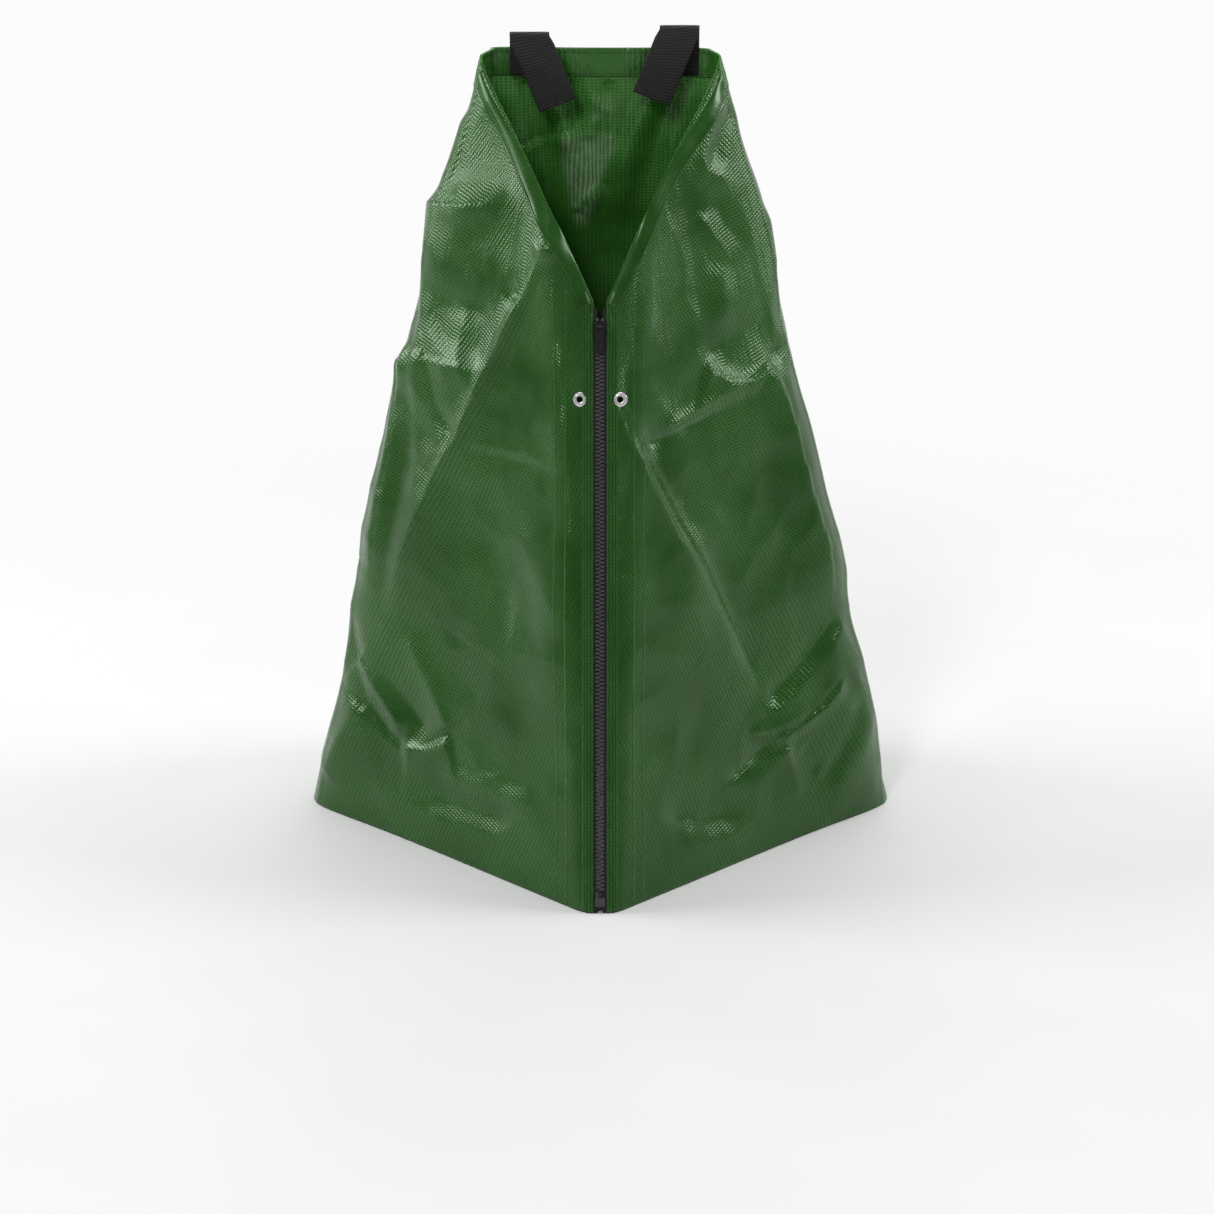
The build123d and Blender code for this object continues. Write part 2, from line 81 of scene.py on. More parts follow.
# The grid of the master surface. The side fold is its column FOLD.
ROWS, FRONT_COLS, ARC_COLS, FLAT_COLS = 232, 120, 78, 28
FOLD = FRONT_COLS
PLACKET_ROUND = 0.010  # how far the crease between placket and panel is rounded
CREASE_GAIN = 1.7  # every crease of the lists is made this much higher
LAP_COLS, LAP_LIFT = 3, 0.0009  # the front film laps over the back's at the side fold
CREASE_PALE_AT, CREASE_PALE_WIDTH = 2.2, 0.0021  # a sharp crease this high (mm) is made pale fully, this wide (m): wear and a painted highlight
RELAX_STEP = 0.6  # the share of the way to its neighbours' middle that a point goes in one round
SHOULDER_COLS, SHOULDER_ROUNDS = 14.0, 90  # smoothing where the back's round meets its flat
FOLD_COLS, FOLD_ROUNDS = 34.0, 700  # smoothing of the side fold
BULGE_REACH = 0.085  # how far from the side fold its bulge fades out
BACK_ROUND = 0.34  # past its flat, the back falls away by the distance squared over this
PLACE_ROUNDS = 12  # rounds in which place() settles on a row


def smooth(low, high, x):
    """An S-shaped step, from 0 at low to 1 at high."""
    t = np.clip((np.asarray(x, float) - low) / (high - low), 0, 1)
    return t * t * (3 - 2 * t)


def length(v):
    """The length of each vector."""
    return np.linalg.norm(v, axis=-1, keepdims=True)


def run_along(points):
    """The distance along a line of points, at each of them."""
    return np.concatenate([[0], np.cumsum(np.linalg.norm(np.diff(points, axis=0), axis=1))])


# ---- The master surface -------------------------------------------------------------------


def neck_edge_z(x):
    """Height of the V neck's edge at a distance from the middle."""
    return np.interp(x, [0, 0.0448, TIP_X], [NECK_Z, 0.6546, TOP_Z])


def front_y(x, z):
    """The flat placket and the flat main panel, joined by a soft crease. x is positive."""
    placket = z * PLACKET_LEAN - FOOT_FRONT
    away = panel_normal[0] * (x - FOOT_X) + panel_normal[2] * z
    panel = -away / panel_normal[1]
    gap = np.clip(PLACKET_ROUND - np.abs(placket - panel), 0, None)
    return np.maximum(placket, panel) + gap**2 / (4 * PLACKET_ROUND)


def base_surface():
    """The unwrinkled right half: rows up it, columns from the slot round to the back's middle."""
    t = np.linspace(0, 1, ROWS + 1)[:, None]
    s = np.linspace(0, 1, FRONT_COLS + 1)[None, :]
    foot_x = SLOT_X + (FOOT_X - SLOT_X) * s
    edge_x = SLOT_X + (TIP_X - SLOT_X) * s
    x = (1 - t) * foot_x + t * edge_x
    z = t * neck_edge_z(edge_x)
    front = np.stack([x, front_y(x, z), z], -1)

    start = math.atan2(-CORNER_Y, FOOT_X - BACK_FLAT)
    turn = np.linspace(start, math.pi / 2, ARC_COLS + 1)[1:]
    flat = np.linspace(1, 0, FLAT_COLS + 1)[1:]
    low = np.concatenate(
        [
            np.stack([BACK_FLAT + CORNER_R * np.cos(turn), CORNER_Y + CORNER_R * np.sin(turn)], -1),
            np.stack([BACK_FLAT * flat, np.full(FLAT_COLS, FOOT_BACK)], -1),
        ]
    )
    w = np.linspace(0, 1, ARC_COLS + 1)[1:, None]
    high = np.concatenate(
        [
            (1 - w) * [TIP_X, TIP_Y] + w * [BACK_FLAT, TOP_BACK],
            np.stack([BACK_FLAT * flat, np.full(FLAT_COLS, TOP_BACK)], -1),
        ]
    )
    back_xy = (1 - t[..., None]) * low + t[..., None] * high
    back_z = np.broadcast_to(t[..., None] * TOP_Z, back_xy.shape[:2] + (1,))
    back = np.concatenate([back_xy, back_z], -1)
    return np.concatenate([front, back], 1)


def relax_columns(grid, weight, rounds):
    """Rounds corners that run up the grid, where weight is above zero."""
    for _ in range(rounds):
        mean = (grid[:, :-2] + grid[:, 2:]) / 2
        grid[:, 1:-1] += RELAX_STEP * weight[:, 1:-1, None] * (mean - grid[:, 1:-1])
    return grid


def normals(grid):
    """Outward unit normals of a right-hand grid."""
    across = np.gradient(grid, axis=1)
    up = np.gradient(grid, axis=0)
    n = np.cross(across, up)
    return n / np.maximum(length(n), 1e-12)


# Creases, drawn on the front as (x, z) in millimetres, top to bottom or left to right. Each has
# a height, its widths on the right and left of the way it is drawn, and its shares of fade at
# the start and end. A soft one is round on top, and the others come to an edge.
LEFT = [
    ([(176, 636), (140, 644), (104, 654), (62, 668)], 9.6, 20, 92, 0.1, 0.6, 0),
    ([(192, 492), (150, 490), (112, 492), (84, 500)], 5.4, 22, 58, 0.1, 0.5, 0),
    ([(164, 546), (144, 512), (122, 468)], -2.2, 12, 9, 0.2, 0.3, 0),
    ([(172, 530), (154, 498), (134, 462)], 2.0, 9, 9, 0.3, 0.3, 1),
    ([(45, 627), (90, 518), (133, 409), (149, 381), (179, 304), (201, 245), (218, 180)],
     9.0, 54, 64, 0.0, 0.3, 0),
    ([(45, 627), (90, 518), (133, 409), (149, 381), (179, 304), (201, 245)], 3.0, 4, 9, 0.02, 0.2, 0),
    ([(38, 618), (82, 510), (124, 409)], -1.0, 4, 6, 0.1, 0.2, 0),
    ([(188, 541), (163, 510), (153, 444), (133, 412)], -3.0, 12, 8, 0.3, 0.1, 0),
    ([(193, 494), (183, 477), (156, 436), (141, 410)], 2.6, 6, 7, 0.2, 0.1, 0),
    ([(196, 470), (178, 440), (150, 400)], -2.2, 6, 8, 0.2, 0.2, 0),
    ([(196, 405), (181, 389), (149, 376)], -1.6, 6, 8, 0.2, 0.2, 0),
    ([(188, 500), (198, 396), (208, 346), (220, 265), (233, 226)], 6.5, 20, 34, 0.1, 0.3, 0),
    ([(176, 440), (190, 360), (206, 280), (222, 200)], -3.0, 16, 14, 0.3, 0.3, 1),
    ([(255, 218), (248, 160), (236, 130), (215, 104), (197, 92)], -6.0, 10, 14, 0.2, 0.2, 0),
    ([(246, 175), (228, 150), (212, 128), (196, 104)], 4.0, 8, 18, 0.1, 0.2, 0),
    ([(230, 160), (208, 150), (186, 128), (172, 112)], -2.4, 9, 7, 0.2, 0.2, 0),
    ([(198, 224), (176, 175), (153, 125)], 3.2, 14, 22, 0.3, 0.05, 0),
    ([(204, 92), (176, 98), (150, 116)], 3.6, 7, 22, 0.2, 0.1, 0),
    ([(246, 121), (267, 73), (288, 29)], 3.4, 14, 16, 0.1, 0.1, 0),
    ([(242, 122), (223, 103), (202, 86)], 2.6, 5, 7, 0.1, 0.3, 0),
    ([(170, 84), (127, 80), (81, 82), (52, 78)], 2.0, 14, 14, 0.3, 0.3, 1),
    ([(200, 56), (155, 54), (114, 58), (70, 60)], -2.6, 14, 16, 0.3, 0.3, 1),
    ([(240, 40), (190, 28), (140, 32)], 1.8, 12, 12, 0.3, 0.3, 1),
    ([(131, 417), (70, 421), (10, 415)], 0.9, 4, 6, 0.05, 0.2, 0),
    ([(131, 411), (70, 413), (14, 409)], -0.8, 5, 6, 0.1, 0.2, 0),
    ([(140, 738), (149, 683), (152, 644)], 3.0, 14, 14, 0.2, 0.3, 1),
    ([(158, 664), (128, 672), (98, 700), (84, 724)], -0.7, 14, 16, 0.2, 0.3, 1),
    ([(150, 640), (110, 650), (80, 668)], 1.8, 16, 18, 0.3, 0.3, 1),
    ([(92, 574), (72, 571), (46, 623)], -4.0, 12, 8, 0.2, 0.2, 0),
    ([(172, 560), (130, 548), (96, 556)], -2.0, 12, 16, 0.3, 0.3, 1),
    ([(176, 520), (140, 500), (112, 470)], 1.8, 12, 12, 0.3, 0.3, 1),
    ([(120, 380), (96, 300), (84, 210)], -2.2, 34, 34, 0.3, 0.4, 1),
    ([(60, 380), (52, 260), (46, 120)], 1.4, 26, 26, 0.3, 0.4, 1),
]
RIGHT = [
    ([(5, 515), (22, 478), (40, 439), (57, 403), (79, 352), (105, 298), (127, 248), (151, 196), (171, 143)],
     -3.6, 26, 9, 0.05, 0.15, 0),
    ([(12, 512), (28, 474), (44, 437), (62, 400), (84, 350), (110, 296), (132, 246), (156, 194)],
     3.0, 9, 30, 0.1, 0.2, 0),
    ([(0, 512), (17, 476), (34, 440), (51, 400), (73, 350), (99, 296)], 2.0, 4, 6, 0.02, 0.3, 0),
    ([(40, 439), (59, 438), (99, 447), (107, 450), (149, 462), (166, 488), (174, 510)],
     -3.4, 9, 14, 0.1, 0.1, 0),
    ([(60, 446), (97, 457), (110, 464), (140, 474)], 3.6, 7, 10, 0.2, 0.2, 0),
    ([(104, 452), (128, 458), (150, 474)], 1.6, 4, 4, 0.2, 0.2, 0),
    ([(98, 504), (136, 515), (168, 524)], -2.8, 18, 12, 0.2, 0.1, 0),
    ([(100, 496), (122, 480), (142, 474), (166, 486)], 5.0, 7, 24, 0.1, 0.1, 0),
    ([(127, 750), (110, 730), (98, 697), (102, 685), (134, 665)], 4.4, 8, 11, 0.15, 0.2, 0),
    ([(134, 742), (120, 722), (112, 700), (122, 684)], -3.0, 10, 10, 0.2, 0.3, 1),
    ([(92, 651), (110, 621), (128, 593)], 2.8, 8, 12, 0.3, 0.3, 0),
    ([(104, 668), (124, 630), (142, 596)], -2.2, 12, 14, 0.3, 0.3, 1),
    ([(112, 600), (118, 560), (124, 524)], 2.0, 14, 16, 0.3, 0.3, 1),
    ([(164, 640), (168, 600), (172, 560)], 2.4, 14, 12, 0.3, 0.3, 1),
    ([(171, 139), (182, 158), (204, 177), (237, 217)], -5.0, 9, 12, 0.15, 0.1, 0),
    ([(172, 128), (196, 152), (222, 180), (246, 206)], 3.6, 10, 18, 0.2, 0.1, 0),
    ([(182, 94), (228, 110), (260, 144)], -4.0, 9, 10, 0.2, 0.1, 0),
    ([(166, 106), (194, 110), (222, 126), (246, 150)], 5.0, 7, 20, 0.15, 0.2, 0),
    ([(150, 122), (170, 118), (196, 122), (214, 134)], 3.0, 7, 6, 0.2, 0.2, 0),
    ([(126, 82), (148, 92), (168, 104), (187, 108)], -2.8, 8, 8, 0.3, 0.1, 0),
    ([(186, 100), (196, 70), (207, 37)], 2.8, 10, 12, 0.1, 0.3, 0),
    ([(207, 92), (216, 78), (228, 61)], -2.4, 7, 8, 0.1, 0.3, 0),
    ([(281, 110), (262, 64), (235, 11)], 3.8, 12, 12, 0.2, 0.1, 0),
    ([(268, 130), (250, 84), (226, 40)], -2.8, 10, 10, 0.2, 0.3, 1),
    ([(265, 9), (290, 22)], 1.6, 6, 6, 0.2, 0.2, 0),
    ([(162, 492), (178, 441), (198, 365), (219, 290), (233, 217)], 6.5, 24, 38, 0.1, 0.2, 0),
    ([(150, 440), (168, 370), (190, 290), (204, 224)], -2.8, 18, 18, 0.3, 0.3, 1),
    ([(57, 84), (102, 60), (148, 42)], -2.8, 18, 18, 0.3, 0.3, 1),
    ([(60, 34), (96, 24), (168, 26)], 1.8, 14, 14, 0.3, 0.3, 1),
    ([(110, 380), (92, 300), (84, 200)], 1.8, 30, 30, 0.3, 0.4, 1),
]
# The back's creases, as (x, z) seen from the front, both sides of the middle.
BACK = [
    ([(-74, 758), (-60, 690), (-52, 600)], 3.4, 12, 12, 0.05, 0.5, 1),
    ([(-60, 758), (-20, 660), (4, 560)], -3.2, 12, 12, 0.05, 0.5, 1),
    ([(74, 758), (60, 700), (40, 610)], 3.2, 12, 12, 0.05, 0.5, 1),
    ([(64, 758), (30, 690), (20, 600)], -2.8, 10, 12, 0.05, 0.5, 1),
    ([(-16, 752), (-4, 735), (14, 716)], -3.2, 7, 6, 0.35, 0.4, 0),
    ([(-30, 757), (-26, 720), (-20, 672)], 3.2, 6, 6, 0.05, 0.5, 0),
    ([(8, 757), (4, 720), (2, 660)], 3.0, 7, 6, 0.05, 0.5, 0),
    ([(-24, 614), (-12, 630), (2, 646)], -3.4, 4, 12, 0.2, 0.2, 0),
    ([(-44, 694), (-10, 700), (22, 692)], -3.6, 26, 10, 0.2, 0.2, 0),
    ([(-40, 700), (-42, 650), (-36, 600)], 2.4, 16, 16, 0.3, 0.4, 1),
    ([(18, 700), (22, 650), (14, 590)], -2.4, 16, 16, 0.3, 0.4, 1),
    ([(-120, 700), (-128, 560), (-150, 380), (-160, 220)], 4.0, 26, 26, 0.2, 0.4, 1),
    ([(122, 690), (134, 540), (150, 380), (168, 240)], 3.6, 26, 26, 0.2, 0.4, 1),
    ([(-92, 560), (-96, 420), (-84, 260)], -3.6, 30, 30, 0.3, 0.4, 1),
    ([(84, 560), (98, 420), (96, 250)], -3.6, 30, 30, 0.3, 0.4, 1),
    ([(-20, 540), (-14, 380), (-24, 200)], 2.6, 34, 34, 0.3, 0.4, 1),
    ([(-150, 210), (-90, 176), (-20, 190), (40, 172)], -2.8, 14, 16, 0.2, 0.3, 1),
    ([(-132, 196), (-80, 160), (-10, 170)], 2.6, 8, 8, 0.2, 0.3, 0),
    ([(170, 250), (120, 206), (70, 196)], -3.6, 9, 11, 0.1, 0.3, 0),
    ([(176, 236), (128, 190), (80, 176)], 3.4, 9, 8, 0.1, 0.3, 0),
    ([(-196, 300), (-160, 260), (-118, 246)], -3.4, 10, 10, 0.1, 0.3, 0),
    ([(-200, 286), (-164, 244), (-124, 226)], 3.0, 8, 9, 0.1, 0.3, 0),
    ([(-120, 96), (-40, 84), (60, 92), (130, 80)], 2.4, 14, 16, 0.3, 0.3, 1),
    ([(-140, 60), (-60, 48), (40, 54)], -2.2, 14, 14, 0.3, 0.3, 1),
    ([(30, 470), (60, 430), (110, 404)], -2.6, 6, 9, 0.2, 0.3, 0),
    ([(34, 460), (66, 416), (118, 388)], 2.4, 7, 6, 0.2, 0.3, 0),
    ([(-40, 520), (-80, 486), (-130, 470)], -2.4, 8, 8, 0.2, 0.3, 0),
]
# How far each side stands out past its straight fold, in millimetres, up from the ground.
BULGE_AT = [0, 0.1, 0.15, 0.22, 0.27, 0.33, 0.43, 0.54, 0.62, 0.675, 0.756, 0.81, 0.89, 0.94, 1]
BULGE_LEFT = [2, 3, 2, 8, 12, 8, 7, 7, 12, 11, 9, 7, 1, 1, 0]
BULGE_RIGHT = [2, 10, 13, 13, 10, 16, 12, 10, 8, 8, 15, 14, 8, 7, 1]


def turned_round(crease):
    """The same crease with its right and left widths changed over."""
    return crease[:2] + (crease[3], crease[2]) + crease[4:]


def crease_field(points, grid, normal, crease):
    """How far one crease lifts each point of the grid, and how pale it makes the film there: wear and a
    painted highlight.
    """
    height, right, left, fade_in, fade_out, soft = crease[1:]
    steps = np.linalg.norm(np.diff(points, axis=0), axis=1)
    run = np.concatenate([[0], np.cumsum(steps)])
    near = np.full(grid.shape[:2], 1e9)
    place = np.zeros(grid.shape[:2])
    side = np.zeros(grid.shape[:2])
    for i, step in enumerate(steps):
        along = (points[i + 1] - points[i]) / step
        rel = grid - points[i]
        u = np.clip(rel @ along, 0, step)
        off = rel - u[..., None] * along
        far = np.linalg.norm(off, axis=-1)
        hand = np.einsum("ijk,ijk->ij", np.cross(along, off), normal)
        closer = far < near
        near = np.where(closer, far, near)
        place = np.where(closer, (run[i] + u) / run[-1], place)
        side = np.where(closer, hand, side)
    width = np.where(side > 0, right, left) / 1000
    shape = np.exp(-((near / width) ** 2)) if soft else np.exp(-near / width)
    fade = np.ones_like(place)
    if fade_in:
        fade *= smooth(0, fade_in, place)
    if fade_out:
        fade *= smooth(0, fade_out, 1 - place)
    # A sharp crease is painted pale along its line: partly the film's wear, partly a painted highlight on
    # it.
    paler = 0 if soft else min(1.0, abs(height) / CREASE_PALE_AT)
    wear_and_highlight = paler * fade * np.exp(-((near / CREASE_PALE_WIDTH) ** 2))
    return CREASE_GAIN * height / 1000 * shape * fade, wear_and_highlight


def undulation(grid, seed):
    """Slow and middling unevenness that no crease list would give."""
    flat = grid.reshape(-1, 3)
    shift = Vector((seed * 7.3, seed * 3.1, seed * 1.7))
    out = np.empty(len(flat))
    for i, p in enumerate(flat):
        v = Vector(p)
        slow = noise.noise(v * 6.0 + shift)
        mid = noise.noise(v * 13.0 + shift)
        ridge = 0.35 - abs(noise.noise(v * 17.0 - shift))
        fine = noise.noise(v * 34.0 + shift)
        out[i] = 0.0026 * slow + 0.0014 * mid + 0.0022 * ridge + 0.0004 * fine
    return out.reshape(grid.shape[:2])


def side_surface(hand):
    """The wrinkled master surface of one side, hand -1 for the left, and its normals."""
    grid = base_surface()
    cols = np.arange(grid.shape[1])[None, :]
    up = np.linspace(0, 1, ROWS + 1)[:, None]
    at_shoulder = np.exp(-(((cols - FOLD - ARC_COLS) / SHOULDER_COLS) ** 2)) * smooth(0.3, 0.9, up)
    grid = relax_columns(grid, at_shoulder, SHOULDER_ROUNDS)
    full = smooth(0.0, 0.16 if hand < 0 else 0.05, up) * (1 - 0.75 * smooth(0.72, 1.0, up))
    at_fold = np.exp(-(((cols - FOLD) / FOLD_COLS) ** 4)) * (0.06 + 0.94 * full)
    grid = relax_columns(grid, at_fold, FOLD_ROUNDS)
    normal = normals(grid)

    rows = np.arange(ROWS + 1)
    step = np.linalg.norm(np.diff(grid, axis=1), axis=2)
    run = np.concatenate([np.zeros((ROWS + 1, 1)), np.cumsum(step, 1)], 1)
    from_fold = run - run[:, FOLD : FOLD + 1]
    bulge = np.interp(rows / ROWS, BULGE_AT, BULGE_LEFT if hand < 0 else BULGE_RIGHT) / 1000
    kernel = np.exp(-((np.arange(-12, 13) / 5.0) ** 2))
    bulge = np.convolve(np.pad(bulge, 12, mode="edge"), kernel / kernel.sum(), "valid")
    corner_in = FOOT_X - (FOOT_X - TIP_X) * rows / ROWS - grid[:, FOLD, 0]
    push = (bulge + corner_in)[:, None] * np.exp(-((from_fold / BULGE_REACH) ** 2))
    grid[..., 0] += push * np.where(from_fold < 0, 1, 0.9)

    lift = np.zeros(grid.shape[:2])
    wear_and_highlight = np.zeros(grid.shape[:2])
    for crease in LEFT if hand < 0 else RIGHT:
        xz = np.array(crease[0], float) / 1000
        points = np.stack([xz[:, 0], front_y(xz[:, 0], xz[:, 1]), xz[:, 1]], -1)
        mirrored = crease if hand > 0 else turned_round(crease)
        up_by, paler = crease_field(points, grid, normal, mirrored)
        lift += up_by
        wear_and_highlight = np.maximum(wear_and_highlight, paler)
    for crease in BACK:
        xz = np.array(crease[0], float) / 1000
        x = xz[:, 0] * hand
        t = xz[:, 1] / TOP_Z
        flat_y = FOOT_BACK + (TOP_BACK - FOOT_BACK) * t
        past = np.clip(x - BACK_FLAT, 0, None)
        round_y = flat_y - past**2 / BACK_ROUND
        points = np.stack([x, round_y, xz[:, 1]], -1)
        mirrored = crease if hand < 0 else turned_round(crease)
        up_by, paler = crease_field(points, grid, normal, mirrored)
        lift += up_by
        wear_and_highlight = np.maximum(wear_and_highlight, paler)

    world = grid * [hand, 1, 1]
    rough = undulation(world, 1.0)
    on_front = cols <= FOLD
    x, z = grid[..., 0], grid[..., 2]
    by_zip = np.where(on_front, smooth(0.016, 0.046, x), 1)
    edge_gap = np.where(on_front, neck_edge_z(np.clip(x, 0, TIP_X)) - z, TOP_Z - z)
    by_edge = 0.25 + 0.75 * smooth(0.0, 0.06, edge_gap)
    by_ground = 0.12 + 0.88 * smooth(0.0, 0.07, z)
    lift = (lift + rough * by_edge) * by_zip * by_ground
    lift *= np.where(on_front, 0.35 + 0.65 * smooth(0.0, 0.03, edge_gap), 1)
    grid += lift[..., None] * normal
    grid[0, :, 2] = 0.0
    grid *= [hand, 1, 1]
    return grid, normals(grid) * hand, run, wear_and_highlight


surfaces, paler_at = {}, {}
for hand in (-1, 1):
    *surface, paler_at[hand] = side_surface(hand)
    surfaces[hand] = tuple(surface)


def sample(hand, row, col, lift=0.0):
    """A point of the master surface at a fractional row and column, lifted off it, and its normal."""
    grid, normal, _ = surfaces[hand]
    row = np.clip(row, 0, ROWS - 1e-6)
    col = np.clip(col, 0, grid.shape[1] - 1 - 1e-6)
    i, j = np.floor(row).astype(int), np.floor(col).astype(int)
    a, b = (row - i)[..., None], (col - j)[..., None]

    def mix(of):
        low = of[i, j] * (1 - b) + of[i, j + 1] * b
        high = of[i + 1, j] * (1 - b) + of[i + 1, j + 1] * b
        return low * (1 - a) + high * a

    n = mix(normal)
    n = n / length(n)
    return mix(grid) + n * np.asarray(lift)[..., None], n


def place(x, z):
    """Row and column of the front's point at that distance from the middle and that height."""
    x, z = np.broadcast_arrays(np.asarray(x, float), np.asarray(z, float))
    t = z / NECK_Z
    for _ in range(PLACE_ROUNDS):
        width = (1 - t) * FOOT_X + t * TIP_X - SLOT_X
        s = (x - SLOT_X) / width
        t = z / neck_edge_z(np.clip(SLOT_X + (TIP_X - SLOT_X) * s, 0, TIP_X))
    return t * ROWS, s * FRONT_COLS


# ---- Meshes -------------------------------------------------------------------------------

SWEEP_UV_WIDTH = 0.03
HOLE_MARGIN = 0.0004  # a face is cut out with a hole when its middle lies this near
STITCH_PITCH, STITCH_SHARE, THREAD_RADIUS = 0.0034, 0.72, 0.00034
STITCH_START = 0.14  # share of the pitch before a stitch comes up
STITCH_SIDES = 6
# Along a stitch: where each ring lies, how thick it is and how high, in thread radii.
STITCH_RINGS = ((0.22, 1.0, 0.35), (0.5, 1.1, 0.6), (0.78, 1.0, 0.35))
STITCH_DIP = 0.6  # how far its ends dip into the film, in thread radii


def new_object(name, verts, faces, material, uv=None, flat_faces=()):
    """A mesh object in the scene, shaded smooth but for its flat faces."""
    mesh = bpy.data.meshes.new(name)
    mesh.from_pydata([tuple(v) for v in verts], [], [tuple(f) for f in faces])
    smooth_on = np.ones(len(faces), bool)
    smooth_on[list(flat_faces)] = False
    mesh.polygons.foreach_set("use_smooth", smooth_on)
    if uv is not None:
        layer = mesh.uv_layers.new(name="cut")
        corner = np.zeros(len(mesh.loops), int)
        mesh.loops.foreach_get("vertex_index", corner)
        layer.data.foreach_set("uv", np.asarray(uv, float)[corner].ravel())
    mesh.materials.append(material)
    mesh.update()
    obj = bpy.data.objects.new(name, mesh)
    bpy.context.scene.collection.objects.link(obj)
    return obj


def film(name, points, normal, uv, material, holes=(), thickness=SKIN, wear_and_highlight=None):
    """A sheet of film: a grid of points with its thickness inwards, and round holes or slots."""
    rows, cols = points.shape[:2]
    points = points.copy()
    index = np.arange(rows * cols).reshape(rows, cols)
    quads = np.stack([index[:-1, :-1], index[:-1, 1:], index[1:, 1:], index[1:, :-1]], -1)
    keep = np.ones(quads.shape[:2], bool)
    centre = (points[:-1, :-1] + points[1:, 1:] + points[:-1, 1:] + points[1:, :-1]) / 4
    flat = points.reshape(-1, 3)
    for start, end, radius in holes:
        axis = end - start
        size = max(axis @ axis, 1e-12)

        def off_slot(p):
            u = np.clip((p - start) @ axis / size, 0, 1)
            return p - start - u[..., None] * axis

        cut = np.linalg.norm(off_slot(centre), axis=-1) < radius + HOLE_MARGIN
        if not cut.any():
            far = np.linalg.norm(off_slot(centre), axis=-1)
            cut = far == far.min()
        keep &= ~cut
        rim = np.intersect1d(quads[cut].ravel(), quads[keep].ravel())
        off = off_slot(flat[rim])
        flat[rim] += off * (radius / np.maximum(length(off), 1e-6) - 1)
    top = quads[keep]
    used, flat_index = np.unique(top, return_inverse=True)
    top = flat_index.reshape(top.shape)
    outer = flat[used]
    inner = outer - normal.reshape(-1, 3)[used] * thickness
    count = len(used)
    edges = np.concatenate([top[:, [k, (k + 1) % 4]] for k in range(4)])
    directed = set(map(tuple, edges.tolist()))
    rim = np.array(sorted(e for e in directed if (e[1], e[0]) not in directed))
    rims = np.stack([rim[:, 1], rim[:, 0], rim[:, 0] + count, rim[:, 1] + count], -1)
    faces = np.concatenate([top, top[:, ::-1] + count, rims])
    wanted = normal.reshape(-1, 3)[used][top[:, 0]]
    if np.einsum("ij,ij->i", face_normals(outer, top), wanted).mean() < 0:
        faces = faces[:, ::-1]
    uv = uv.reshape(-1, 2)[used]
    obj = new_object(
        name,
        np.concatenate([outer, inner]),
        faces,
        material,
        np.concatenate([uv, uv]),
        range(len(faces) - len(rims), len(faces)),
    )
    # The pale marks: on the outer films crease wear with a painted highlight, inside the back a painted
    # highlight.
    if wear_and_highlight is not None:
        paler = wear_and_highlight.reshape(-1)[used]
        attribute = obj.data.attributes.new("wear_and_highlight", "FLOAT", "POINT")
        attribute.data.foreach_set("value", np.concatenate([paler, paler]))
    return obj


def face_normals(points, quads):
    """The unit normal of each four-cornered face."""
    first = points[quads[:, 0]]
    n = np.cross(points[quads[:, 1]] - first, points[quads[:, 3]] - first)
    return n / np.maximum(length(n), 1e-15)


def sweep(name, sections, material):
    """A closed body through a row of closed sections, each the same number of points."""
    count, ring = sections.shape[:2]
    index = np.arange(count * ring).reshape(count, ring)
    faces = []
    for a, b in zip(index[:-1], index[1:]):
        for k in range(ring):
            m = (k + 1) % ring
            faces.append((a[k], a[m], b[m], b[k]))
    ends = [len(faces), len(faces) + 1]
    faces.append(tuple(index[0][::-1]))
    faces.append(tuple(index[-1]))
    points = sections.reshape(-1, 3)
    volume = 0.0
    for f in faces:
        for k in range(1, len(f) - 1):
            volume += np.dot(points[f[0]], np.cross(points[f[k]], points[f[k + 1]]))
    if volume < 0:
        faces = [f[::-1] for f in faces]
    along = run_along(sections.mean(1))
    across = np.linspace(0, 1, ring) * SWEEP_UV_WIDTH
    uv = np.stack(np.broadcast_arrays(across[None, :], along[:, None]), -1)
    return new_object(name, points, faces, material, uv.reshape(-1, 2), ends)


def ridge(name, parts, material):
    """A raised strip of folded film, from its rows of outer and inner points."""
    ring = [outer for outer, _ in parts] + [parts[-1][1], parts[0][1]]
    return sweep(name, np.stack(ring, 1), material)


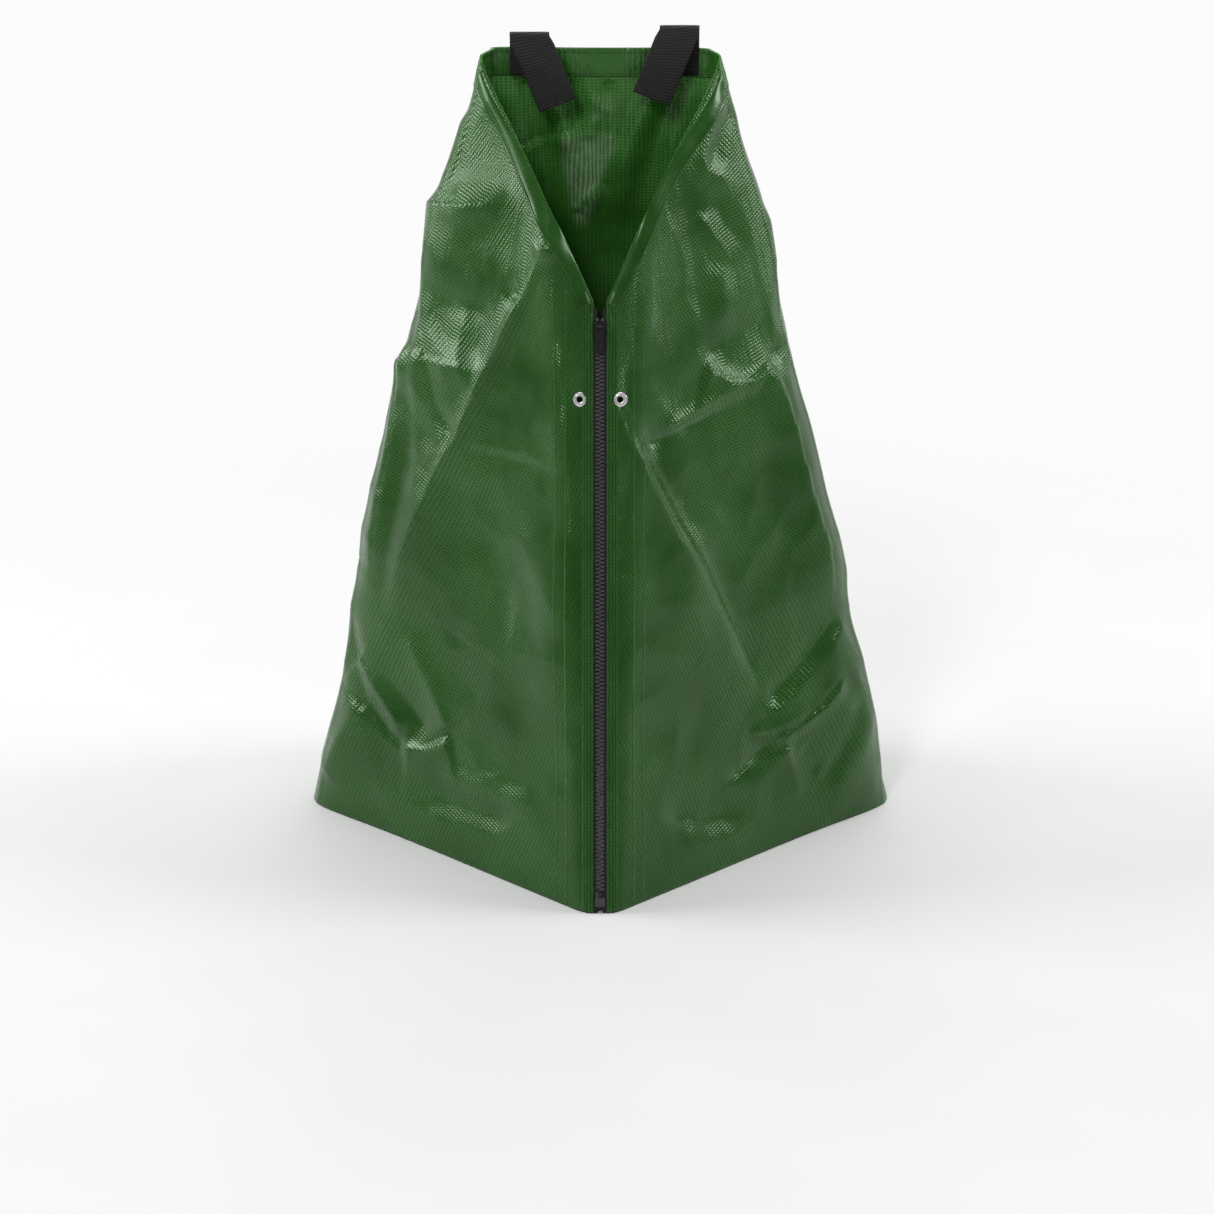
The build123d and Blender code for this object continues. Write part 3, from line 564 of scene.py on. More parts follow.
def stitches(name, paths, material, pitch=STITCH_PITCH, share=STITCH_SHARE, radius=THREAD_RADIUS):
    """Rows of short thread stitches. Each path is points and their outward normals."""
    verts, faces = [], []
    ring = STITCH_SIDES
    for points, out in paths:
        run = run_along(points)
        for k in range(int(run[-1] / pitch)):
            start, end = (k + STITCH_START) * pitch, (k + STITCH_START + share) * pitch
            a, b = (np.array([np.interp(w, run, points[:, c]) for c in range(3)]) for w in (start, end))
            up = np.array([np.interp((start + end) / 2, run, out[:, c]) for c in range(3)])
            d = (b - a) / max(np.linalg.norm(b - a), 1e-9)
            up = up - d * (up @ d)
            up /= np.linalg.norm(up)
            side = np.cross(d, up)
            first = len(verts)
            verts.append(a - up * radius * STITCH_DIP)
            for centre, r, h in STITCH_RINGS:
                base = a + (b - a) * centre + up * radius * h
                for q in range(ring):
                    turn = 2 * math.pi * q / ring
                    verts.append(base + (up * math.cos(turn) + side * math.sin(turn)) * radius * r)
            verts.append(b - up * radius * STITCH_DIP)
            tail = len(verts) - 1
            for q in range(ring):
                m = (q + 1) % ring
                faces.append((first, first + 1 + m, first + 1 + q))
                for level in range(2):
                    base = first + 1 + level * ring
                    faces.append((base + q, base + m, base + ring + m, base + ring + q))
                base = first + 1 + 2 * ring
                faces.append((base + q, base + m, tail))
    return new_object(name, verts, faces, material)


SIDES = {"left": -1, "right": 1}
FLAP = {"left": "left_flap", "right": "right_flap"}


def carry(piece, body):
    """Gives a piece the body that it moves with."""
    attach(piece, body)


def hinge_film(obj):
    """Bakes the piece's placing into its mesh."""
    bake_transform(obj)


# ---- Materials ----------------------------------------------------------------------------


class Nodes:
    """A small helper that adds and joins the nodes of one material."""

    def __init__(self, name):
        self.material = bpy.data.materials.new(name)
        self.material.use_nodes = True
        self.tree = self.material.node_tree
        self.shader = self.tree.nodes["Principled BSDF"]

    def add(self, kind, inputs=(), **settings):
        """A node with its settings, and its inputs set or linked."""
        node = self.tree.nodes.new(kind)
        for key, value in settings.items():
            setattr(node, key, value)
        for key, value in dict(inputs).items():
            self.feed(value, node.inputs[key])
        return node

    def feed(self, value, socket):
        """Links another node's socket to this one, or sets a plain value on it."""
        if isinstance(value, bpy.types.NodeSocket):
            self.tree.links.new(value, socket)
        else:
            socket.default_value = value

    def maths(self, operation, *values):
        """The result of a Math node."""
        node = self.add("ShaderNodeMath", enumerate(values), operation=operation)
        return node.outputs[0]

    def ramp(self, value, *stops):
        """A colour ramp from (position, grey or colour) pairs."""
        node = self.add("ShaderNodeValToRGB", {0: value})
        ramp = node.color_ramp
        while len(ramp.elements) < len(stops):
            ramp.elements.new(1.0)
        for element, (at, shade) in zip(ramp.elements, stops):
            element.position = at
            element.color = (*shade, 1) if isinstance(shade, tuple) else (shade, shade, shade, 1)
        return node.outputs[0]

    def noise(self, where, scale, detail=3.0, rough=0.55):
        """Cloudy noise, 0 to 1."""
        return self.add(
            "ShaderNodeTexNoise", {"Vector": where, "Scale": scale, "Detail": detail, "Roughness": rough}
        ).outputs["Fac"]

    def waves(self, where, scale, direction="X", distortion=0.0, detail_scale=1.0):
        """Soft bands, 0 to 1."""
        return self.add(
            "ShaderNodeTexWave",
            {"Vector": where, "Scale": scale, "Distortion": distortion, "Detail Scale": detail_scale},
            bands_direction=direction,
        ).outputs["Fac"]

    def turned(self, where, degrees):
        """The same place, turned in its plane."""
        return self.add(
            "ShaderNodeMapping", {"Vector": where, "Rotation": (0, 0, math.radians(degrees))}
        ).outputs[0]

    def mix(self, share, low, high):
        """A colour between low and high."""
        return self.add("ShaderNodeMix", {0: share, 6: low, 7: high}, data_type="RGBA").outputs[2]

    def smoothstep(self, value, low, high):
        """An S-shaped step, from 0 at low to 1 at high."""
        node = self.add("ShaderNodeMapRange", {"Value": value, "From Min": low, "From Max": high})
        node.interpolation_type = "SMOOTHSTEP"
        return node.outputs[0]

    def bump(self, height, distance, strength=1.0, normal=None):
        """A normal bent by a height."""
        inputs = {"Height": height, "Distance": distance, "Strength": strength}
        if normal is not None:
            inputs["Normal"] = normal
        return self.add("ShaderNodeBump", inputs).outputs[0]

    def finish(self, values):
        """Sets or links the shader's own sockets, and gives the finished material."""
        for key, value in values.items():
            self.feed(value, self.shader.inputs[key])
        return self.material


# The film's greens, and how far apart its scrim's threads lie.
FILM_DARK, FILM_PALE = (0.0085, 0.045, 0.0046), (0.0140, 0.062, 0.0080)
FILM_THREAD = (0.046, 0.142, 0.033)
# The pale green of sharp creases, partly wear and partly a painted highlight, also painted on the hem's ribs
# as highlight.
FILM_WORN_AND_HIGHLIGHT, WORN_AND_HIGHLIGHT_SHARE = (0.100, 0.210, 0.080), 0.55
PAINTED_HIGHLIGHT, PAINTED_HIGHLIGHT_SHARE = (0.42, 0.64, 0.37), 0.95  # a painted highlight inside the back
FILM_GLOSS = 0.17
FILM_SHINE = {"Specular IOR Level": 0.42, "Specular Tint": (0.78, 1.0, 0.72, 1)}
SEAM_EDGE = (0.030, 0.110, 0.024, 1)
WARP_PITCH, WEFT_PITCH = 0.0042, 0.0033
PUCKER_PITCH = 0.0052
TAUT_FROM, TAUT_TO = 0.34, 0.60  # up the cut, in metres: the scrim shows more where it is pulled tight


def pitch(metres):
    """The Wave Texture scale whose bands are that far apart."""
    return 2 * math.pi / (20 * metres)


def tinted(tint):
    """The film's dark and pale green, made lighter or darker."""
    return [tuple(c * tint for c in shade) for shade in (FILM_DARK, FILM_PALE)]


def film_material(name, warp_turn, weft_turn, tint=1.0, weave=1.0, rubbed=False):
    """Green laminated film over a scrim of threads, with creases painted pale as wear and highlight, or with
    the painted highlight inside the back.
    """
    n = Nodes(name)
    cut = n.add("ShaderNodeUVMap", uv_map="cut").outputs[0]
    along = n.turned(cut, warp_turn)
    warp = n.maths("POWER", n.waves(along, pitch(WARP_PITCH), "X", 0.7, 1.5), 1.5)
    paired = n.maths("MULTIPLY_ADD", n.waves(along, pitch(2 * WARP_PITCH), "X", 0.4, 1.5), 0.55, 0.45)
    weft = n.maths("POWER", n.waves(n.turned(cut, weft_turn), pitch(WEFT_PITCH), "X", 0.7, 1.5), 1.5)
    threads = n.maths("MAXIMUM", n.maths("MULTIPLY", warp, paired), n.maths("MULTIPLY", weft, 0.8))
    patchy = n.ramp(n.noise(cut, 9.0, 3.0), (0.35, 0.30), (0.62, 1.0))
    threads = n.maths("MULTIPLY", threads, patchy)
    cloud = n.noise(cut, 7.0, 4.0)
    stretched = n.add("ShaderNodeMapping", {"Vector": cut, "Scale": (1.0, 0.22, 1.0)}).outputs[0]
    scuffs = n.noise(stretched, 46.0, 5.0, 0.7)
    dark, pale = tinted(tint)
    body = n.ramp(cloud, (0.30, dark), (0.72, pale))
    height = n.add("ShaderNodeSeparateXYZ", {"Vector": cut}).outputs["Y"]
    reach = {"Value": height, "From Min": TAUT_FROM, "From Max": TAUT_TO}
    taut = n.add("ShaderNodeMapRange", reach).outputs[0]
    shown = n.maths("MULTIPLY", threads, n.maths("MULTIPLY_ADD", taut, 0.7, 1.3))
    thread = (*(c * tint for c in FILM_THREAD), 1)
    lit = n.mix(n.maths("MULTIPLY", shown, 0.75 * weave), body, thread)
    # The pale marks: inside the back a painted highlight; elsewhere creases made pale, partly wear, partly a
    # painted highlight.
    wear_and_highlight = n.add("ShaderNodeAttribute", attribute_name="wear_and_highlight").outputs["Fac"]
    if rubbed:
        fine = n.ramp(n.noise(cut, 60.0, 3.0), (0.36, 0.45), (0.58, 1.0))
        broken = n.maths("MULTIPLY", fine, n.maths("MULTIPLY_ADD", warp, 0.8, 0.3))
        paler, share = PAINTED_HIGHLIGHT, PAINTED_HIGHLIGHT_SHARE
    else:
        broken = n.ramp(n.noise(cut, 240.0, 2.0), (0.38, 0.25), (0.60, 1.0))
        paler, share = FILM_WORN_AND_HIGHLIGHT, WORN_AND_HIGHLIGHT_SHARE
    creased = n.mix(n.maths("MULTIPLY", n.maths("MULTIPLY", wear_and_highlight, broken), share), lit, (*paler, 1))
    gloss = FILM_GLOSS
    rough = n.ramp(scuffs, (0.30, gloss - 0.04), (0.62, gloss + 0.03), (0.80, gloss + 0.12))
    dents = n.bump(n.noise(cut, 26.0, 3.0), 0.0010, 0.4)
    normal = n.bump(shown, 0.00022, weave, dents)
    return n.finish({"Base Color": creased, "Roughness": rough, "Normal": normal, **FILM_SHINE})


def seam_material(name, tint, gloss, puckers_with_highlight=0.0):
    """The same film where it is folded and stitched: smoother, worn lighter on its edges, and with a painted
    highlight on its puckers.
    """
    n = Nodes(name)
    where = n.add("ShaderNodeTexCoord").outputs["Object"]
    cloud = n.noise(where, 30.0, 4.0)
    fine = n.noise(where, 420.0, 2.0)
    edge = n.add("ShaderNodeNewGeometry").outputs["Pointiness"]
    paler = n.ramp(edge, (0.50, 0.0), (0.56, 1.0))
    dark, pale = tinted(tint)
    body = n.ramp(cloud, (0.30, dark), (0.70, pale))
    lit = n.mix(n.maths("MULTIPLY", paler, 0.35), body, SEAM_EDGE)
    rough = n.ramp(cloud, (0.30, gloss - 0.05), (0.75, gloss + 0.10))
    normal = n.bump(fine, 0.00012, 0.35)
    if puckers_with_highlight:
        ribs = n.maths("POWER", n.waves(where, pitch(PUCKER_PITCH), "X", 3.2, 3.0), 1.6)
        ribs = n.maths("MULTIPLY", ribs, n.ramp(n.noise(where, 34.0, 2.0), (0.44, 0.0), (0.60, 1.0)))
        # The puckers' ribs are painted paler: a painted highlight on them.
        lit = n.mix(n.maths("MULTIPLY", ribs, puckers_with_highlight), lit, (*FILM_WORN_AND_HIGHLIGHT, 1))
        normal = n.bump(ribs, 0.0006, 0.8, normal)
    return n.finish({"Base Color": lit, "Roughness": rough, "Normal": normal, **FILM_SHINE})


def thread_material(name, dark, pale):
    """Twisted sewing thread."""
    n = Nodes(name)
    where = n.add("ShaderNodeTexCoord").outputs["Object"]
    twist = n.waves(where, pitch(0.0006), "DIAGONAL", 1.0, 3.0)
    tone = n.ramp(n.noise(where, 90.0, 2.0), (0.3, dark), (0.7, pale))
    normal = n.bump(twist, 0.00008, 0.5)
    return n.finish({"Base Color": tone, "Roughness": 0.62, "Normal": normal, "Sheen Weight": 0.15})


def webbing_material():
    """Black polypropylene webbing: ribs along it and tight picks across."""
    n = Nodes("webbing")
    cut = n.add("ShaderNodeUVMap", uv_map="cut").outputs[0]
    ribs = n.waves(cut, pitch(0.0021), "X", 0.25, 3.0)
    picks = n.waves(n.turned(cut, 7), pitch(0.0030), "Y", 0.4, 4.0)
    picks = n.maths("POWER", picks, 0.7)
    weave = n.maths("MULTIPLY", picks, n.maths("ADD", 0.6, n.maths("MULTIPLY", ribs, 0.4)))
    fuzz = n.noise(cut, 900.0, 2.0)
    tone = n.ramp(weave, (0.10, (0.0030, 0.0026, 0.0029)), (0.85, (0.0280, 0.0250, 0.0262)))
    dust = n.ramp(n.noise(cut, 60.0, 4.0), (0.45, 0.0), (0.8, 0.35))
    dusty = n.mix(dust, tone, (0.034, 0.032, 0.032, 1))
    height = n.maths("ADD", weave, n.maths("MULTIPLY", fuzz, 0.25))
    sheen = {"Sheen Weight": 0.12, "Sheen Roughness": 0.5}
    normal = n.bump(height, 0.0005, 0.9)
    return n.finish({"Base Color": dusty, "Roughness": 0.72, "Normal": normal, **sheen})


def hard_material(name, dark, light, metallic, rough, scale=500.0):
    """A moulded, enamelled or plated finish with slight wear and unevenness."""
    n = Nodes(name)
    where = n.add("ShaderNodeTexCoord").outputs["Object"]
    cloud = n.noise(where, scale, 3.0)
    edge = n.ramp(n.add("ShaderNodeNewGeometry").outputs["Pointiness"], (0.50, 0.0), (0.60, 1.0))
    paler = n.maths("ADD", n.maths("MULTIPLY", cloud, 0.55), n.maths("MULTIPLY", edge, 0.45))
    tone = n.ramp(paler, (0.20, dark), (0.70, light))
    shine = n.ramp(cloud, (0.3, rough - 0.06), (0.7, rough + 0.08))
    normal = n.bump(cloud, 0.00006, 0.5)
    return n.finish({"Base Color": tone, "Metallic": metallic, "Roughness": shine, "Normal": normal})


def tape_material():
    """The zipper's woven tape."""
    n = Nodes("zipper_tape_weave")
    where = n.add("ShaderNodeTexCoord").outputs["Object"]
    warp = n.waves(where, pitch(0.0010), "X", 0.3, 2.0)
    knit = n.maths("MULTIPLY", warp, n.waves(where, pitch(0.0008), "Z", 0.3, 2.0))
    tone = n.ramp(knit, (0.1, (0.006, 0.0045, 0.006)), (0.8, (0.020, 0.016, 0.020)))
    normal = n.bump(knit, 0.0002, 0.8)
    return n.finish({"Base Color": tone, "Roughness": 0.8, "Normal": normal, "Sheen Weight": 0.2})


FILM_FRONT = {
    "left": film_material("film_left", 28.7, -70.0),
    "right": film_material("film_right", -28.7, 70.0),
}
FILM_BACK = film_material("film_back", 0.0, 90.0)
# The films inside the bag take the film's greens three times lighter: painted light, standing in for light
# that comes through the film.
FILM_INSIDE_PAINTED_LIGHT = film_material("film_inside", 0.0, 90.0, 3.0, 0.6)
FILM_HIGHLIGHT_PAINTED = film_material("film_rubbed", 0.0, 90.0, 3.0, 0.6, rubbed=True)
# The hem takes the film's greens 3.3 times lighter: painted light, standing in for the hem's sheen.
HEM_SEAM = seam_material("film_hem", 3.3, 0.20, 0.9)
ZIP_SEAM = seam_material("film_zip", 2.2, 0.24)
BAND_SEAM = seam_material("film_binding", 1.45, 0.22)
THREAD = thread_material("thread", (0.0016, 0.0075, 0.0018), (0.0045, 0.019, 0.0045))
# Pale thread for the bar tacks; its paleness is partly a painted highlight at the foot of the neck.
TACK = thread_material("thread_tack", (0.110, 0.200, 0.090), (0.210, 0.330, 0.180))
WEBBING = webbing_material()
# The finishes of the CAD pieces that stay in sight, by the record's material slots.
MOULDING = ((0.0040, 0.0033, 0.0042), (0.074, 0.068, 0.074), 0.0, 0.30)
ENAMEL = ((0.0016, 0.0018, 0.0018), (0.012, 0.014, 0.013), 0.25, 0.30)
PLATING = ((0.62, 0.58, 0.60), (0.93, 0.90, 0.92), 0.35, 0.26, 260.0)
FINISH = {
    "zipper_plastic": hard_material("zipper_moulding", *MOULDING),
    "slider_metal": hard_material("slider_enamel", *ENAMEL),
    "eyelet_metal": hard_material("eyelet_plating", *PLATING),
    "zipper_tape": tape_material(),
}

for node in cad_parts.values():
    for holder in node.material_slots:
        slot = holder.material.name.split(".")[0] if holder.material else ""
        if slot in FINISH:
            holder.material = FINISH[slot]

# ---- Film ---------------------------------------------------------------------------------


def cut_map(grid, run, hand):
    """A point's place on the flat cut, in metres: how far round it lies, and how high up."""
    climb = np.cumsum(np.linalg.norm(np.diff(grid, axis=0), axis=2), 0)
    up = np.concatenate([np.zeros((1, grid.shape[1])), climb])
    return np.stack([run * hand, up], -1)


def eyelet_holes(hand, depth):
    """The hole for one eyelet, that far under the placket's outer face."""
    neck = np.array([EYELET_X * hand, -NECK_Y, NECK_Z])
    centre = neck - zip_up * EYELET_DROP - placket_normal * depth
    return [(centre, centre, EYELET_HOLE)]


WELD_WIDTH = 0.012  # the skins are welded together this far in from the zipper and the ground


def skin_depth(grid):
    """How far the inner skin lies under the outer one: welded at the edges, open between them."""
    cols = np.arange(grid.shape[1])[None, :]
    x = np.abs(grid[..., 0])
    z = grid[..., 2]
    front = cols <= FOLD
    from_top = np.where(front, neck_edge_z(np.clip(x, 0, TIP_X)) - z, TOP_Z - HEM - z)
    from_zip = np.where(front, x - SLOT_X - WELD_WIDTH, 1.0)
    near = np.minimum(np.minimum(from_top, from_zip), z - WELD_WIDTH)
    return SKIN * 1.05 + (WALL - 2 * SKIN) * 0.9 * smooth(0, 0.02, near)


lap = FOLD + LAP_COLS + 1
for side, hand in SIDES.items():
    grid, normal, run = surfaces[hand]
    lift = LAP_LIFT * smooth(FOLD - 4, FOLD - 1, np.arange(lap))[None, :, None]
    outer = grid[:, :lap] + normal[:, :lap] * lift
    uv = cut_map(grid, run, hand)
    piece = film(
        f"outer_film_{side}",
        outer,
        normal[:, :lap],
        uv[:, :lap],
        FILM_FRONT[side],
        eyelet_holes(hand, 0),
        wear_and_highlight=paler_at[hand][:, :lap],
    )
    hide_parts(f"outer_{side}")
    hinge_film(piece)

    # The inner skin needs only every second row and column.
    under = grid - normal * skin_depth(grid)[..., None]
    inner = under[::2, :lap:2]
    piece = film(
        f"inner_film_{side}",
        inner,
        normal[::2, :lap:2],
        uv[::2, :lap:2],
        FILM_INSIDE_PAINTED_LIGHT,
        eyelet_holes(hand, WALL),
    )
    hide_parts(f"inner_{side}", f"base_hem_{side}")
    hinge_film(piece)

# The back is one sheet from side fold to side fold.
halves = {}
for hand in (-1, 1):
    grid, normal, run = surfaces[hand]
    under = grid - normal * skin_depth(grid)[..., None]
    uv = cut_map(grid, run[:, -1:] - run, hand)
    halves[hand] = [part[:, FOLD:] for part in (grid, normal, uv, under, paler_at[hand])]
back_grid, back_normal, back_uv, back_inner, back_wear_and_highlight = (
    np.concatenate([left_half, right_half[:, -2::-1]], 1)
    for left_half, right_half in zip(halves[-1], halves[1])
)


def painted_highlight_mark(grid):
    """Where a highlight is painted pale on the film inside the back, 0 to 1, with the line of a fold across
    it.

    It stands in for the highlight that the photo shows there. It is paint that stays on the film,
    and no reflection of a lamp.
    """
    x, z = grid[..., 0] * 1000, grid[..., 2] * 1000
    left = np.interp(z, [600, 655, 697], [-25, -35, -39])
    right = np.interp(z, [600, 655, 690], [-15, 3, 15])
    patch = smooth(-6, 5, x - left) * smooth(-7, 5, right - x) * smooth(590, 616, z) * smooth(-706, -688, -z)
    across = np.clip((x + 24) / 26, 0, 1)
    fold = np.exp(-(((z - 614 - 32 * across) / 4.0) ** 2)) * (x < 6)
    above = smooth(708, 716, z) * smooth(-748, -738, -z) * smooth(-12, -6, x) * smooth(-16, -8, -x)
    side = smooth(664, 676, z) * smooth(-716, -700, -z) * smooth(-94, -88, x) * smooth(76, 82, -x)
    return np.clip(patch * (1 - 0.9 * fold) + 0.35 * above + 0.45 * side, 0, 1)


fill_row = np.array(FILL_Z / TOP_Z * ROWS)
middle_col = np.array(back_grid.shape[1] // 2 + FOLD + 0.0)
fill_centre, _ = sample(1, fill_row, middle_col)
half_slot = np.array([FILL_HALF, 0, 0])
drip_y = FOOT_BACK + (TOP_BACK - FOOT_BACK) * DRIP_Z / TOP_Z - WALL
drips = [np.array([x, drip_y, DRIP_Z]) for x in (-DRIP_X, DRIP_X)]
back_film = film(
    "outer_film_back",
    back_grid,
    back_normal,
    back_uv,
    FILM_BACK,
    [(fill_centre - half_slot, fill_centre + half_slot, FILL_R)],
    wear_and_highlight=back_wear_and_highlight,
)
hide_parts("outer_back")
# The film inside the back carries a painted highlight as its pale marks.
inner_film = film(
    "inner_film_back",
    back_inner,
    back_normal,
    back_uv,
    FILM_HIGHLIGHT_PAINTED,
    [(at, at, DRIP_R) for at in drips],
    wear_and_highlight=painted_highlight_mark(back_inner),
)
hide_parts("inner_back", "base_hem_back")
for piece, of in ((back_film, back_grid), (inner_film, back_inner)):
    carry(piece, "bag_back")

# ---- Neck binding, top hem and zip seams --------------------------------------------------


def neck_line(hand, inset, count=150):
    """Points down the V neck, a distance in from its edge, with their normals."""
    cols = np.linspace(0, FOLD - 1.5, count)
    edge, out = sample(hand, np.full(count, float(ROWS)), cols)
    along = np.gradient(edge, axis=0)
    inward = np.cross(out, along)
    inward /= length(inward)
    inward *= np.where(inward[:, 2:] > 0, -1, 1)
    at = edge + inward * inset
    rows, cols = place(np.abs(at[:, 0]), np.minimum(at[:, 2], neck_edge_z(np.abs(at[:, 0])) - 1e-5))
    return sample(hand, rows, np.clip(cols, 0, FOLD))


# The seams' profiles: shares of the width, and how proud each is, in SEAM_PROUD.
BAND = [
    (0.0, 1.0), (0.20, 2.0), (0.5, 1.9), (0.72, 1.2), (0.78, 0.8), (0.82, 0.8), (0.88, 1.2), (0.96, 1.0),
    (1.0, 0.25),
]
HEM_PROFILE = [
    (0.0, 1.2), (0.08, 1.0), (0.14, 0.5), (0.2, 1.0), (0.5, 1.25), (0.8, 1.0), (0.88, 0.5), (0.95, 1.0),
    (1.0, 0.2),
]
BAND_STITCH, BAND_THREAD = 0.80, 0.00042
HEM_STITCH = (0.14, 0.88)
LIP = 0.0009  # how far the round of a folded edge stands past the film's edge

for side, hand in SIDES.items():
    path = [neck_line(hand, share * BINDING) for share, _ in BAND]
    ring = [p + n * SEAM_PROUD * proud for (p, n), (_, proud) in zip(path, BAND)]
    inner_ring = [p - n * (2 * SKIN + SEAM_PROUD * proud) for (p, n), (_, proud) in zip(path, BAND)]
    edge, out = path[0]
    inward = path[1][0] - edge
    inward /= length(inward)
    nose = [edge - inward * LIP - out * depth for depth in (0.0, 2 * SKIN)]
    sections = np.stack(ring[::-1] + nose + inner_ring, 1)
    piece = sweep(f"neck_binding_film_{side}", sections, BAND_SEAM)
    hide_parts(f"neck_binding_{side}")
    hinge_film(piece)
    line, out = neck_line(hand, BINDING * BAND_STITCH)
    path = [(line + out * SEAM_PROUD * 0.7, out)]
    piece = stitches(f"neck_stitching_{side}", path, THREAD, radius=BAND_THREAD)
    hinge_film(piece)

# The hem is a folded strip over the back's top edge.
hem_cols = np.arange(FOLD + 1.6, FOLD + ARC_COLS + FLAT_COLS, 0.5)


def hem_line(hand, share, cols):
    """Points and normals along the back, that share of the hem's height under its edge."""
    return sample(hand, np.full(len(cols), ROWS * (1 - share * HEM / TOP_Z)), cols)


def hem_waver(hand, col):
    """The hem's unevenness along its length."""
    slow = noise.noise(Vector((col * 0.23 * hand, 3.0, 1.0)))
    return slow + 0.7 * noise.noise(Vector((col * 0.9, 5.0, 1.0)))


def hem_section(hand, cols):
    """The hem's closed section at each column, from inside the back to outside it."""
    parts = []
    waver = np.array([hem_waver(hand, col) for col in cols])
    for share, proud in HEM_PROFILE:
        p, n = hem_line(hand, share, cols)
        swell = SEAM_PROUD * (proud + 0.9 * waver * math.sin(math.pi * share))
        parts.append((p + n * swell[:, None], p - n * (2 * SKIN + swell)[:, None]))
    p, n = hem_line(hand, 0, cols)
    lip = np.array([0, 0, LIP])
    ring = [q for q, _ in parts[::-1]] + [p + lip, p - n * 2 * SKIN + lip] + [q for _, q in parts]
    return np.stack(ring, 1)


hem_halves = [hem_section(-1, hem_cols), hem_section(1, hem_cols)[-2::-1]]
piece = sweep("top_hem_film", np.concatenate(hem_halves), HEM_SEAM)
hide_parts("top_hem")
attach(piece, "bag_back")

stitch_lift = SEAM_PROUD * 0.9
hem_rows = []
for share in HEM_STITCH:
    for inside in (False, True):
        row = []
        for hand in (-1, 1):
            p, n = hem_line(hand, share, hem_cols if hand < 0 else hem_cols[::-1])
            depth = -(2 * SKIN + stitch_lift) if inside else stitch_lift
            row.append((p + n * depth, -n if inside else n))
        hem_rows.append(tuple(np.concatenate(pair) for pair in zip(*row)))
piece = stitches("hem_stitching", hem_rows, THREAD)
carry(piece, "bag_back")

# Beside the zipper the film is turned under and sewn down in three rows. Further out, the edge of
# the welded facing inside shows as a pressed line on each side of a narrow strip.
# The profile runs outwards from the slot's edge: millimetres, and SEAM_PROUD.
ZIP_PROFILE = [
    (0.2, 0.25), (0.5, 0.95), (1.4, 1.45), (2.2, 1.00), (2.5, 0.15), (2.9, 0.15), (3.2, 1.00), (4.3, 1.40),
    (5.4, 1.00), (5.7, 0.15), (6.1, 0.15), (6.4, 0.95), (7.4, 1.20), (8.4, 0.90), (8.7, 0.15), (9.1, 0.15),
    (9.4, 0.80), (10.4, 0.75), (11.2, 0.12),
]
ZIP_STEPS, ZIP_STITCH_AT = 420, (2.7, 5.9, 8.9)
ZIP_LOW, ZIP_TOP_GAP = 0.0006, 0.0015
ZIP_STITCH = (0.0034, 0.80, 0.00048)  # pitch, share and thread radius
TACK_REACH, TACK_DROPS = (0.0035, 0.0085), (0.0030, 0.0045, 0.0060)
TACK_STITCH = (0.0026, 0.85, 0.0006)
WELD_HEIGHTS = np.linspace(0.002, 0.585, 300)
WELD_LINES = ((0.0325, 0.0345), (0.0425, 0.0440))
WELD_PROFILE = ((0, 0.02), (0.35, 0.34), (0.65, 0.34), (1, 0.02))  # share across, millimetres


def front_line(hand, x, heights):
    """Points and normals up the front, at a distance from the middle."""
    return sample(hand, *place(x, heights))


def noise_up(heights, scale, across, seed):
    """Noise along the heights."""
    return np.array([noise.noise(Vector((h * scale, across, seed))) for h in heights])


